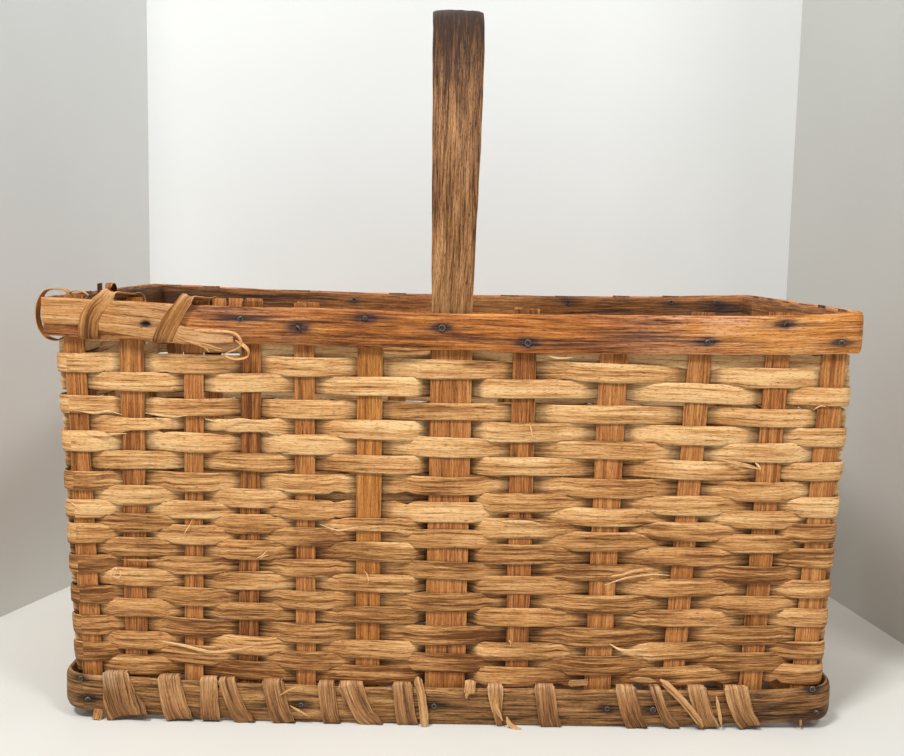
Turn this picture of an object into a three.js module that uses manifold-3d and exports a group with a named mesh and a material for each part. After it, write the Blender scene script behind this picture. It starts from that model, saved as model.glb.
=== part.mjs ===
// A rectangular splint basket with a fixed bow handle. Millimetres, +Z up, front towards -Y.
// The origin is on the floor under the middle of the basket.
import * as THREE from "three";
import { mergeVertices } from "three/addons/utils/BufferGeometryUtils.js";
import Module from "manifold-3d";

const wasm = await Module();
wasm.setup();

// Overall sizes.
const RIM_WIDTH = 560;
const RIM_DEPTH = 290;
const RIM_TOP = 295;
const RIM_SAG = 5;
const FOOT_INSET = 4.5;
const HANDLE_TOP = 523;
const CLEARANCE = 0.3;

// Splints: the upright stakes and the weavers.
const STAKE_THICKNESS = 1.5;
const STAKE_WIDTH = 16;
const CENTRE_STAKE_WIDTH = 28.5;
const SIDE_STAKE_INSET = 37.5;
const SIDE_STAKE_COUNT = 6;
const STAKE_POKE = 3.5;
const BEND_RADIUS = 5;
const BASE_HEIGHT = 12;
const WEAVER_THICKNESS = 1.2;
const WEAVER_WIDTH = 12.5;
const ROW_GAP = 0.6;
const CORNER_RADIUS = 6;

// Rims, foot hoop and the mending board on the front left of the rim.
const RIM_HEIGHT = 27;
const OUTER_RIM_THICKNESS = 4;
const INNER_RIM_THICKNESS = 3.5;
const INNER_RIM_HEIGHT = 25;
const INNER_RIM_DROP = 1;
const HOOP_HEIGHT = 29;
const HOOP_THICKNESS = 5;
const HOOP_CORNER_RADIUS = 16;
const PATCH_THICKNESS = 2.2;
const PATCH_LENGTH = 132;
const DIP_STEP = 70;

// Handle: thin legs inside the weave, a thick bow above the rim.
const HANDLE_OFFSET = -3.6;
const LEG_THICKNESS = 3;
const LEG_BOTTOM = 34;
const BOW_THICKNESS = 7;
const BOW_SWELL = 45;
const LEG_WIDTH = 28;
const CREST_WIDTH = 39;
const RIM_BEND_RUN = 12;

// Lashings: one long splint each, wound round the rim's left end and round the foot hoop.
const LASH_THICKNESS = 1;
const RIM_LASH_WIDTH = 12;
const RIM_LASH_BULGE = 5;
const CORNER_LOOP_INSET = 21.75;
const FOOT_LASH_WIDTH = 13;
const FOOT_LASH_SPACING = 34;
const FOOT_LASH_LEAN = 9;

// Nails.
const NAIL_LENGTH = 9.5;
const NAIL_RADIUS = 1.1;
const NAIL_HEAD_RADIUS = 2.4;
const NAIL_HEAD_HEIGHT = 1;
const NAIL_SIDES = 8;

// Front-to-back stakes, left to right. Places are shares of the way from the middle to the
// last place that a stake can have on the wall: in front at the rim and at the foot, and on
// the back. The width is a share of a stake's. The centre stake stands behind the handle.
const CROSS_STAKE_SHARES = [
  { rim: -1, foot: -1, back: -1, width: 0.9 },
  { rim: -0.851, foot: -0.879, back: -0.867, width: 0.99 },
  { rim: -0.684, foot: -0.715, back: -0.728, width: 0.81 },
  { rim: -0.535, foot: -0.565, back: -0.539, width: 0.85 },
  { rim: -0.399, foot: -0.403, back: -0.347, width: 0.86 },
  { rim: -0.228, foot: -0.233, back: -0.2, width: 1.05 },
  { centre: true },
  { rim: 0.178, foot: 0.187, back: 0.202, width: 1.01 },
  { rim: 0.417, foot: 0.419, back: 0.406, width: 1.19 },
  { rim: 0.644, foot: 0.629, back: 0.605, width: 0.99 },
  { rim: 0.848, foot: 0.851, back: 0.784, width: 1.02 },
  { rim: 1, foot: 1, back: 1, width: 1.05 },
];

// Weaver rows from the top down, as shares of the woven height above the foot lashing.
const ROW_SHARES = [
  0.985, 0.952, 0.902, 0.828, 0.767, 0.717, 0.661, 0.598, 0.552, 0.512, 0.473,
  0.437, 0.395, 0.341, 0.3, 0.246, 0.205, 0.147, 0.1, 0.061, 0.0215,
];

// Front wraps of the foot lashing: the top's and the foot's place as shares of half
// the hoop's straight run, and the splint's width there as a share of its usual width.
const FRONT_WRAP_SHARES = [
  { top: -0.909, foot: -0.857, width: 1.25 },
  { top: -0.766, foot: -0.737, width: 1.1 },
  { top: -0.658, foot: -0.651, width: 0.82 },
  { top: -0.609, foot: -0.565, width: 0.75 },
  { top: -0.484, foot: -0.451, width: 1.15 },
  { top: -0.338, foot: -0.319, width: 0.88 },
  { top: -0.272, foot: -0.218, width: 0.8 },
  { top: -0.13, foot: -0.113, width: 1 },
  { top: 0.123, foot: 0.139, width: 0.7 },
  { top: 0.259, foot: 0.281, width: 1.05 },
  { top: 0.48, foot: 0.514, width: 1.02 },
  { top: 0.58, foot: 0.628, width: 0.5 },
  { top: 0.679, foot: 0.714, width: 0.95 },
  { top: 0.783, foot: 0.824, width: 1 },
];

// The mending board's outline, from its left end at the rim's top: along as shares
// of its length, down as shares of the rim's height.
const PATCH_SHARES = [
  [0, 0.02], [0, 0.68], [0.19, 0.66], [0.29, 0.78], [0.58, 0.9], [0.83, 0.98],
  [1, 0.88], [0.99, 0.7], [0.77, 0.6], [0.74, 0.1], [0.4, 0.04],
];

// Nails in the front of the rim, and the empty hole in the mending board: places as shares
// of half the rim's width, and of the rim's height below its top.
const RIM_NAIL_SHARES = [
  [-0.525, 0.34], [-0.385, 0.51], [-0.224, 0.213], [0.172, 0.757],
  [0.609, 0.709], [0.796, 0.265], [0.935, 0.762],
];
const HANDLE_NAIL_SHARE = [-0.0375, 0.415];
const EMPTY_HOLE_SHARE = [-0.751, 0.51];

// Turns of the rim's lashing, at the top and at the foot of the front face, as shares of half
// the rim's width.
const RIM_WRAP_SHARES = [
  { top: -0.632, foot: -0.713 },
  { top: -0.796, foot: -0.882 },
];

const WOOD = { roughness: 0.75, metalness: 0 };
const stakeWood = new THREE.MeshStandardMaterial({ color: "#b5793f", ...WOOD });
const weaverWood = new THREE.MeshStandardMaterial({ color: "#c8965a", ...WOOD });
const rimWood = new THREE.MeshStandardMaterial({ color: "#a5683a", ...WOOD });
const patchWood = new THREE.MeshStandardMaterial({ color: "#bd8a52", ...WOOD });
const hoopWood = new THREE.MeshStandardMaterial({ color: "#7d5230", ...WOOD });
const handleWood = new THREE.MeshStandardMaterial({ color: "#7f5c3c", ...WOOD });
const lashWood = new THREE.MeshStandardMaterial({ color: "#9a6b3d", ...WOOD });
const iron = new THREE.MeshStandardMaterial({ color: "#3a3634", roughness: 0.6, metalness: 0.8 });

// Heights and half sizes that follow from the driving sizes.
const rimHalf = new THREE.Vector2(RIM_WIDTH, RIM_DEPTH).divideScalar(2);
const footHalf = rimHalf.clone().subScalar(FOOT_INSET);
const hoopBottom = LASH_THICKNESS + CLEARANCE;
const hoopTop = hoopBottom + HOOP_HEIGHT;
const weaveBottom = hoopTop + CLEARANCE + LASH_THICKNESS + CLEARANCE;
const weaveTop = RIM_TOP - RIM_HEIGHT - CLEARANCE;
const rimInset = OUTER_RIM_THICKNESS + CLEARANCE + STAKE_THICKNESS / 2;
const footInset = HOOP_THICKNESS + CLEARANCE + LASH_THICKNESS + CLEARANCE + STAKE_THICKNESS / 2;
const halfStake = STAKE_THICKNESS / 2;

const mix = THREE.MathUtils.lerp;

// Half sizes of the wall's middle surface at a height: it leans out towards the rim.
function wallHalf(height) {
  const share = (height - hoopTop) / (RIM_TOP - hoopTop);
  return new THREE.Vector2(
    mix(footHalf.x - footInset, rimHalf.x - rimInset, share),
    mix(footHalf.y - footInset, rimHalf.y - rimInset, share),
  );
}

const wallLean = (rimHalf.x - rimInset - footHalf.x + footInset) / (RIM_TOP - hoopTop);

// The rim dips towards the middle of the long sides.
function rimTop(x) {
  return RIM_TOP + RIM_SAG * (x / rimHalf.x) ** 2;
}

// Turns a closed mesh's faces outwards, by the sign of its volume.
function outward(geometry) {
  const place = geometry.attributes.position;
  const index = geometry.index.array;
  const [a, b, c] = [new THREE.Vector3(), new THREE.Vector3(), new THREE.Vector3()];
  let volume = 0;
  for (let face = 0; face < index.length; face += 3) {
    a.fromBufferAttribute(place, index[face]);
    b.fromBufferAttribute(place, index[face + 1]);
    c.fromBufferAttribute(place, index[face + 2]);
    volume += a.dot(b.cross(c));
  }
  if (volume < 0) {
    index.reverse();
  }
  return geometry;
}

// A closed body through a run of cross-sections that have the same number of corners.
function loft(sections, joined = false) {
  const corners = sections[0].length;
  const steps = joined ? sections.length : sections.length - 1;
  const faces = [];
  for (let step = 0; step < steps; step += 1) {
    const here = step * corners;
    const next = ((step + 1) % sections.length) * corners;
    for (let corner = 0; corner < corners; corner += 1) {
      const other = (corner + 1) % corners;
      faces.push(here + corner, here + other, next + other);
      faces.push(here + corner, next + other, next + corner);
    }
  }
  if (!joined) {
    const last = (sections.length - 1) * corners;
    for (let corner = 1; corner < corners - 1; corner += 1) {
      faces.push(0, corner + 1, corner);
      faces.push(last, last + corner, last + corner + 1);
    }
  }
  const geometry = new THREE.BufferGeometry();
  const points = sections.flat().flatMap((point) => point.toArray());
  geometry.setAttribute("position", new THREE.Float32BufferAttribute(points, 3));
  geometry.setIndex(faces);
  return outward(geometry);
}

// Sideways vectors at each point of a flat line, long enough to keep the strip's
// thickness even through its bends.
function mitres(line, joined) {
  return line.map((point, index) => {
    const before = line[index - 1] ?? (joined ? line.at(-1) : point);
    const after = line[index + 1] ?? (joined ? line[0] : point);
    const into = point.clone().sub(before).normalize();
    const out = after.clone().sub(point).normalize();
    const first = into.lengthSq() ? into : out;
    const second = out.lengthSq() ? out : into;
    const sum = first.clone().add(second).divideScalar(1 + first.dot(second));
    return new THREE.Vector2(sum.y, -sum.x);
  });
}

// An upright band along a line in plan, between two heights given by functions of the place.
function band(line, joined, thickness, lowest, highest) {
  const sideways = mitres(line, joined);
  const sections = line.map((point, index) => {
    const outer = point.clone().addScaledVector(sideways[index], thickness / 2);
    const inner = point.clone().addScaledVector(sideways[index], -thickness / 2);
    return [
      new THREE.Vector3(outer.x, outer.y, lowest(point.x)),
      new THREE.Vector3(outer.x, outer.y, highest(point.x)),
      new THREE.Vector3(inner.x, inner.y, highest(point.x)),
      new THREE.Vector3(inner.x, inner.y, lowest(point.x)),
    ];
  });
  return loft(sections, joined);
}

// The four walls, in the order in which a weaver passes them, seen from above:
// the front from left to right, the right side, the back and the left side.
const WALLS = [
  { along: new THREE.Vector2(1, 0), out: new THREE.Vector2(0, -1), long: true },
  { along: new THREE.Vector2(0, 1), out: new THREE.Vector2(1, 0), long: false },
  { along: new THREE.Vector2(-1, 0), out: new THREE.Vector2(0, 1), long: true },
  { along: new THREE.Vector2(0, -1), out: new THREE.Vector2(-1, 0), long: false },
];

function wallPoint(wall, half, run, offset) {
  const reach = wall.long ? half.y : half.x;
  return wall.along.clone().multiplyScalar(run).addScaledVector(wall.out, reach + offset);
}

function crossStakeHalfWidth(stake) {
  return stake.centre ? CENTRE_STAKE_WIDTH / 2 : (stake.width * STAKE_WIDTH) / 2;
}

// A stake's middle on a long wall at a height.
function crossStakeX(stake, height, front) {
  if (stake.centre) {
    return HANDLE_OFFSET;
  }
  const corner = Math.max(CORNER_RADIUS, BEND_RADIUS) + CLEARANCE;
  const room = wallHalf(height).x - corner - crossStakeHalfWidth(stake);
  const share = (height - hoopTop) / (RIM_TOP - hoopTop);
  return room * (front ? mix(stake.foot, stake.rim, share) : stake.back);
}

// The side stakes stand evenly between the first and the last one.
function sideStakeY(index) {
  const share = (2 * index) / (SIDE_STAKE_COUNT - 1) - 1;
  return share * (rimHalf.y - SIDE_STAKE_INSET);
}

// What a weaver crosses on one wall at a height, in the order it comes to them.
function wallPosts(wall, height) {
  if (!wall.long) {
    return Array.from({ length: SIDE_STAKE_COUNT }, (_, index) => ({
      run: sideStakeY(index),
      half: STAKE_WIDTH / 2,
      wide: false,
    }));
  }
  const front = wall.out.y < 0;
  const posts = CROSS_STAKE_SHARES.map((stake) => ({
    run: crossStakeX(stake, height, front) * wall.along.x,
    half: crossStakeHalfWidth(stake),
    wide: Boolean(stake.centre),
  }));
  return front ? posts : posts.reverse();
}

// How far a splint swings from the middle surface at each post, so that it just clears
// both edges of the post: a few passes settle each swing against its neighbours'.
// A wide post is crossed flat, at its own clear distance.
const SWING_PASSES = 8;
function swings(posts, sides, clearOf) {
  const clear = posts.map((post, index) => clearOf(post, sides[index]));
  const swing = [...clear];
  for (let pass = 0; pass < SWING_PASSES; pass += 1) {
    posts.forEach((post, index) => {
      if (post.wide) {
        return;
      }
      const needs = [-1, 1].map((step) => {
        const other = posts[index + step];
        if (!other) {
          return clear[index];
        }
        const gap = Math.abs(other.run - post.run) - (other.wide ? other.half : 0);
        const share = post.half / gap;
        return (clear[index] + swing[index + step] * share) / (1 - share);
      });
      swing[index] = Math.max(...needs);
    });
  }
  return swing;
}

// A run of line points past the posts of one wall: out and in by turns.
function weave(posts, sides, clearOf) {
  const swing = swings(posts, sides, clearOf);
  return posts.flatMap((post, index) => {
    const offset = sides[index] * swing[index];
    const runs = post.wide ? [post.run - post.half, post.run + post.half] : [post.run];
    return runs.map((run) => ({ run, offset }));
  });
}

// How far a weaver's middle stays from the stakes' middle surface. The wide stake
// has the handle's leg behind it.
const weaverClear = halfStake + CLEARANCE + WEAVER_THICKNESS / 2 + (wallLean * WEAVER_WIDTH) / 2;
const legLayer = LEG_THICKNESS + CLEARANCE;
function weaverClearance(post, side) {
  return weaverClear + (post.wide && side < 0 ? legLayer : 0);
}

function weaverLine(row, height) {
  const half = wallHalf(height);
  let count = row;
  return WALLS.flatMap((wall) => {
    const posts = wallPosts(wall, height);
    const sides = posts.map(() => {
      count += 1;
      return count % 2 === 0 ? 1 : -1;
    });
    const end = (wall.long ? half.x : half.y) - CORNER_RADIUS;
    const points = [
      { run: -end, offset: sides[0] * weaverClear },
      ...weave(posts, sides, weaverClearance),
      { run: end, offset: sides.at(-1) * weaverClear },
    ];
    return points.map(({ run, offset }) => wallPoint(wall, half, run, offset));
  });
}

// Heights of the rows, and the edges that each one has between its neighbours.
const rowHeights = ROW_SHARES.map((share) => mix(weaveBottom, weaveTop, share));
function rowEdges(row) {
  const height = rowHeights[row];
  const above = row ? mix(height, rowHeights[row - 1], 1 / 2) - ROW_GAP / 2 : weaveTop;
  const last = row === rowHeights.length - 1;
  const below = last ? weaveBottom : mix(height, rowHeights[row + 1], 1 / 2) + ROW_GAP / 2;
  return [
    Math.max(below, height - WEAVER_WIDTH / 2),
    Math.min(above, height + WEAVER_WIDTH / 2),
  ];
}

function makeWeaver(row) {
  const [low, high] = rowEdges(row);
  return band(weaverLine(row, rowHeights[row]), true, WEAVER_THICKNESS, () => low, () => high);
}

// A stake bent to a U: its line runs in its own upright plane, as reach and height.
// The across function gives the place along the wall for each point of the line.
function bentStake(line, halfWidth, across, turned) {
  const sideways = mitres(line, false);
  const sections = line.map((point, index) => {
    const middle = across(point);
    return [[-1, -1], [1, -1], [1, 1], [-1, 1]].map(([side, face]) => {
      const place = point.clone().addScaledVector(sideways[index], face * halfStake);
      const along = middle + side * halfWidth;
      return turned
        ? new THREE.Vector3(place.x, along, place.y)
        : new THREE.Vector3(along, place.x, place.y);
    });
  });
  return loft(sections);
}

// The line of a U through the base: down one wall, round the bend, across, and up.
function stakeLine(reachOf, top, baseRun) {
  const bendTop = BASE_HEIGHT + BEND_RADIUS;
  const reach = reachOf(bendTop);
  const middle = BEND_RADIUS * (1 - Math.SQRT1_2);
  const side = [
    new THREE.Vector2(reachOf(top), top),
    new THREE.Vector2(reach, bendTop),
    new THREE.Vector2(reach - middle, BASE_HEIGHT + middle),
  ];
  const mirrored = side.map((point) => new THREE.Vector2(-point.x, point.y));
  return [...mirrored, ...baseRun(reach - BEND_RADIUS), ...side.reverse()];
}

function makeCrossStake(stake) {
  const top = rimTop(crossStakeX(stake, RIM_TOP, true)) + STAKE_POKE;
  const line = stakeLine(
    (height) => wallHalf(height).y,
    top,
    (end) => [new THREE.Vector2(-end, BASE_HEIGHT), new THREE.Vector2(end, BASE_HEIGHT)],
  );
  const front = (height) => crossStakeX(stake, height, true);
  const back = (height) => crossStakeX(stake, height, false);
  const end = wallHalf(BASE_HEIGHT).y;
  const across = (point) => {
    const share = THREE.MathUtils.clamp((point.x + end) / (2 * end), 0, 1);
    return mix(front(point.y), back(point.y), share);
  };
  return bentStake(line, crossStakeHalfWidth(stake), across, false);
}

const baseClear = STAKE_THICKNESS + CLEARANCE;
function makeLongStake(index) {
  const y = sideStakeY(index);
  const end = wallHalf(BASE_HEIGHT).y;
  const posts = CROSS_STAKE_SHARES.map((stake) => {
    const front = crossStakeX(stake, BASE_HEIGHT, true);
    const back = crossStakeX(stake, BASE_HEIGHT, false);
    const skew = (Math.abs(back - front) / (2 * end)) * (STAKE_WIDTH / 2);
    return {
      run: mix(front, back, (y + end) / (2 * end)),
      half: crossStakeHalfWidth(stake) + skew + CLEARANCE,
      wide: Boolean(stake.centre),
    };
  });
  const sides = posts.map((_, order) => ((order + index) % 2 === 0 ? 1 : -1));
  const line = stakeLine(
    (height) => wallHalf(height).x,
    rimTop(rimHalf.x) + STAKE_POKE,
    (reach) => [
      new THREE.Vector2(-reach, BASE_HEIGHT + sides[0] * baseClear),
      ...weave(posts, sides, () => baseClear).map(
        ({ run, offset }) => new THREE.Vector2(run, BASE_HEIGHT + offset),
      ),
      new THREE.Vector2(reach, BASE_HEIGHT + sides.at(-1) * baseClear),
    ],
  );
  return bentStake(line, STAKE_WIDTH / 2, () => y, true);
}

// Points round one corner of a board, from one wall to the next.
const CORNER_STEPS = 4;
function cornerPoints(wall, half, radius) {
  const length = wall.long ? half.x : half.y;
  const reach = wall.long ? half.y : half.x;
  return Array.from({ length: CORNER_STEPS + 1 }, (_, step) => {
    const angle = (step / CORNER_STEPS) * (Math.PI / 2);
    return wall.along
      .clone()
      .multiplyScalar(length - radius + radius * Math.sin(angle))
      .addScaledVector(wall.out, reach - radius + radius * Math.cos(angle));
  });
}

// Points between the corners, close enough to follow the rim's dip.
function fillRuns(points) {
  return points.flatMap((point, index) => {
    const next = points[index + 1];
    const pieces = next ? Math.ceil(Math.abs(next.x - point.x) / DIP_STEP) : 1;
    return Array.from({ length: Math.max(pieces, 1) }, (_, step) =>
      next ? point.clone().lerp(next, step / Math.max(pieces, 1)) : point,
    );
  });
}

// The outer rim: its front board starts square at the left corner, and the board
// runs round the basket and ends behind it.
function makeOuterRim() {
  const half = rimHalf.clone().subScalar(OUTER_RIM_THICKNESS / 2);
  const radius = CORNER_RADIUS + rimInset - OUTER_RIM_THICKNESS / 2;
  const start = new THREE.Vector2(-rimHalf.x, -half.y);
  const end = new THREE.Vector2(-half.x, -rimHalf.y + OUTER_RIM_THICKNESS + CLEARANCE);
  const corners = WALLS.slice(0, 3).flatMap((wall) => cornerPoints(wall, half, radius));
  const line = fillRuns([start, ...corners, end]);
  return band(line, false, OUTER_RIM_THICKNESS, (x) => rimTop(x) - RIM_HEIGHT, rimTop);
}

// The inner rim steps inwards round each leg of the handle.
const innerRimSlack = wallLean * (INNER_RIM_HEIGHT + INNER_RIM_DROP + RIM_SAG);
const innerRimInset = rimInset + halfStake + CLEARANCE + innerRimSlack + INNER_RIM_THICKNESS / 2;
function makeInnerRim() {
  const half = rimHalf.clone().subScalar(innerRimInset);
  const radius = CORNER_RADIUS;
  const legHalf = LEG_WIDTH / 2 + CLEARANCE + INNER_RIM_THICKNESS;
  const line = WALLS.flatMap((wall) => {
    if (!wall.long) {
      return cornerPoints(wall, half, radius);
    }
    const middle = HANDLE_OFFSET * wall.along.x;
    const steps = [
      [middle - legHalf - RIM_BEND_RUN, 0],
      [middle - legHalf, -legLayer],
      [middle + legHalf, -legLayer],
      [middle + legHalf + RIM_BEND_RUN, 0],
    ];
    const jog = steps.map(([run, offset]) => wallPoint(wall, half, run, offset));
    return [...jog, ...cornerPoints(wall, half, radius)];
  });
  const top = (x) => rimTop(x) - INNER_RIM_DROP;
  const filled = fillRuns([...line, line[0]]).slice(0, -1);
  return band(filled, true, INNER_RIM_THICKNESS, (x) => top(x) - INNER_RIM_HEIGHT, top);
}

function makeFootHoop() {
  const half = footHalf.clone().subScalar(HOOP_THICKNESS / 2);
  const radius = HOOP_CORNER_RADIUS - HOOP_THICKNESS / 2;
  const line = WALLS.flatMap((wall) => cornerPoints(wall, half, radius));
  return band(line, true, HOOP_THICKNESS, () => hoopBottom, () => hoopTop);
}

// The board that mends the left end of the rim, tapering to a broken tail.
function makeRimPatch() {
  const corner = (share) => {
    const x = -rimHalf.x + share[0] * PATCH_LENGTH;
    return new THREE.Vector2(x, rimTop(x) - share[1] * RIM_HEIGHT);
  };
  const outline = new THREE.Shape(PATCH_SHARES.map(corner));
  const board = new THREE.ExtrudeGeometry(outline, { depth: PATCH_THICKNESS, bevelEnabled: false });
  board.rotateX(Math.PI / 2);
  board.translate(0, -rimHalf.y - CLEARANCE, 0);
  return board;
}

// The handle: its outer face runs up inside the stakes and over in half an ellipse.
const BOW_STEPS = 24;
function makeHandle() {
  const face = (height) => wallHalf(height).y - halfStake - CLEARANCE;
  const bowStart = rimTop(0) + STAKE_POKE;
  const reach = face(bowStart);
  const rise = HANDLE_TOP - bowStart;
  const leg = [LEG_BOTTOM, bowStart - RIM_HEIGHT].map(
    (height) => new THREE.Vector2(-face(height), height),
  );
  const bow = Array.from({ length: BOW_STEPS + 1 }, (_, step) => {
    const angle = (step / BOW_STEPS) * Math.PI;
    return new THREE.Vector2(-reach * Math.cos(angle), bowStart + rise * Math.sin(angle));
  });
  const mirrored = leg.map((point) => new THREE.Vector2(-point.x, point.y)).reverse();
  const line = [...leg, ...bow, ...mirrored];
  const inwards = mitres(line, false);
  const sections = line.map((point, index) => {
    const above = Math.max(point.y - bowStart, 0);
    const swell = THREE.MathUtils.smoothstep(above, 0, BOW_SWELL);
    const thickness = mix(LEG_THICKNESS, BOW_THICKNESS, swell);
    const halfWidth = mix(LEG_WIDTH, CREST_WIDTH, above / rise) / 2;
    const inner = point.clone().addScaledVector(inwards[index], thickness);
    return [[-1, point], [1, point], [1, inner], [-1, inner]].map(
      ([side, place]) => new THREE.Vector3(HANDLE_OFFSET + side * halfWidth, place.x, place.y),
    );
  });
  return loft(sections);
}

// A splint wound round a board, one turn after another, as one unbroken strip. Each turn
// comes over the board's top, runs down its near face and passes under it to the far face.
// The box is the board's section: near and far faces, bottom and top. The bulge is how far
// a slack turn stands off the near face.
function woundStrip(turns, box, bulge, place) {
  const gap = CLEARANCE + LASH_THICKNESS / 2;
  const cut = LASH_THICKNESS / 2;
  const slack = bulge ? [[box.near + gap + bulge, mix(box.top, box.bottom, 1 / 2), 1 / 2]] : [];
  const round = [
    [box.far - gap, box.top + gap - cut, 0],
    [box.far - gap + cut, box.top + gap, 0],
    [box.near + gap - cut, box.top + gap, 0],
    [box.near + gap, box.top + gap - cut, 0],
    ...slack,
    [box.near + gap, box.bottom - gap + cut, 1],
    [box.near + gap - cut, box.bottom - gap, 1],
    [box.far - gap + cut, box.bottom - gap, 1],
    [box.far - gap, box.bottom - gap + cut, 1],
  ];
  const stops = turns.flatMap((turn) =>
    round.map(([out, height, share]) => ({
      line: new THREE.Vector2(out, height),
      run: mix(turn.top, turn.foot, share),
      half: turn.half,
    })),
  );
  const sideways = mitres(stops.map((stop) => stop.line), false);
  const sections = stops.map((stop, index) =>
    [[-1, -1], [1, -1], [1, 1], [-1, 1]].map(([side, face]) => {
      const at = stop.line.clone().addScaledVector(sideways[index], (face * LASH_THICKNESS) / 2);
      return place(stop.run + side * stop.half, at.x, at.y);
    }),
  );
  const height = box.top - box.bottom;
  const gaps = stops.slice(round.length).map((stop, index) => {
    const before = stops[index];
    const across = Math.abs(stop.run - before.run) - stop.half - before.half;
    return across * (height / Math.hypot(stop.run - before.run, height));
  });
  return { geometry: loft(sections), leastGap: Math.min(...gaps) };
}

// Places on a wall: along it, outwards from the middle of the basket, and up.
function placeOn(wall) {
  return (run, out, height) => {
    const plan = wall.along.clone().multiplyScalar(run).addScaledVector(wall.out, out);
    return new THREE.Vector3(plan.x, plan.y, height);
  };
}

function footTurns(wall) {
  const straight = (wall.long ? footHalf.x : footHalf.y) - HOOP_CORNER_RADIUS;
  if (wall.long && wall.out.y < 0) {
    return FRONT_WRAP_SHARES.map(({ top, foot, width }) => ({
      top: top * straight,
      foot: foot * straight,
      half: (width * FOOT_LASH_WIDTH) / 2,
    }));
  }
  const half = straight - FOOT_LASH_WIDTH;
  const count = Math.floor((2 * half - FOOT_LASH_LEAN) / FOOT_LASH_SPACING);
  return Array.from({ length: count }, (_, index) => {
    const top = (index - (count - 1) / 2) * FOOT_LASH_SPACING - FOOT_LASH_LEAN / 2;
    return { top, foot: top + FOOT_LASH_LEAN, half: FOOT_LASH_WIDTH / 2 };
  });
}

function makeFootLashing(wall, name) {
  const reach = wall.long ? footHalf.y : footHalf.x;
  const box = { near: reach, far: reach - HOOP_THICKNESS, bottom: hoopBottom, top: hoopTop };
  const { geometry, leastGap } = woundStrip(footTurns(wall), box, 0, placeOn(wall));
  console.log(`${name}: least gap between turns ${leastGap.toFixed(2)} mm`);
  return geometry;
}

// The rim's lashing binds the mending board to both rims, past the stakes' tops.
function makeRimLashing() {
  const turns = RIM_WRAP_SHARES.map(({ top, foot }) => ({
    top: top * rimHalf.x,
    foot: foot * rimHalf.x,
    half: RIM_LASH_WIDTH / 2,
  }));
  const nearest = turns[0].foot + turns[0].half;
  const box = {
    near: rimHalf.y + CLEARANCE + PATCH_THICKNESS,
    far: rimHalf.y - innerRimInset - INNER_RIM_THICKNESS / 2,
    bottom: rimTop(nearest) - RIM_HEIGHT,
    top: rimTop(rimHalf.x) + STAKE_POKE,
  };
  const { geometry, leastGap } = woundStrip(turns, box, 0, placeOn(WALLS[0]));
  console.log(`rim_lashing: least gap between turns ${leastGap.toFixed(2)} mm`);
  return geometry;
}

// The slack loop of the same splint round the left end, just behind the front board.
function makeCornerLoop() {
  const run = rimHalf.y - CORNER_LOOP_INSET;
  const box = {
    near: rimHalf.x,
    far: rimHalf.x - innerRimInset - INNER_RIM_THICKNESS / 2,
    bottom: rimTop(rimHalf.x) - RIM_HEIGHT,
    top: rimTop(rimHalf.x) + STAKE_POKE,
  };
  const turn = { top: run, foot: run, half: RIM_LASH_WIDTH / 2 };
  return woundStrip([turn], box, RIM_LASH_BULGE, placeOn(WALLS[3])).geometry;
}

// A nail with a low round head: the head's underside is at the origin, the shank along +Y.
function nailShape(length, growth) {
  const radius = NAIL_RADIUS + growth;
  const headRadius = NAIL_HEAD_RADIUS + growth;
  return new THREE.LatheGeometry(
    [
      new THREE.Vector2(0, -NAIL_HEAD_HEIGHT),
      new THREE.Vector2(headRadius * Math.SQRT1_2, -NAIL_HEAD_HEIGHT),
      new THREE.Vector2(headRadius, 0),
      new THREE.Vector2(radius, 0),
      new THREE.Vector2(radius, length + growth),
      new THREE.Vector2(0, length + growth),
    ],
    NAIL_SIDES,
  );
}

// Where a nail's head stands on the rim: in front, or on the back when turned.
function rimPlace([along, down], back) {
  const x = along * rimHalf.x;
  const y = rimHalf.y + CLEARANCE;
  return new THREE.Vector3(x, back ? y : -y, rimTop(x) - down * RIM_HEIGHT);
}

// A closed mesh with only its corners, each one written once.
function solidOf(geometry) {
  const bare = geometry.clone();
  bare.deleteAttribute("normal");
  bare.deleteAttribute("uv");
  return mergeVertices(bare);
}

function toManifold(geometry) {
  return new wasm.Manifold(new wasm.Mesh({
    numProp: 3,
    vertProperties: geometry.attributes.position.array,
    triVerts: Uint32Array.from(geometry.index.array),
  }));
}

// The body with a hole of the tool's shape through it, or the same body where it misses.
function drilled(geometry, tool) {
  const body = toManifold(geometry);
  if (body.intersect(tool).isEmpty()) {
    return geometry;
  }
  const { vertProperties, triVerts } = body.subtract(tool).getMesh();
  const cut = new THREE.BufferGeometry();
  cut.setAttribute("position", new THREE.BufferAttribute(vertProperties, 3));
  cut.setIndex(new THREE.BufferAttribute(triVerts, 1));
  return cut;
}

const basket = new THREE.Group();

function add(name, geometry, material) {
  const mesh = new THREE.Mesh(solidOf(geometry), material);
  mesh.name = name;
  basket.add(mesh);
  return mesh;
}

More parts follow.
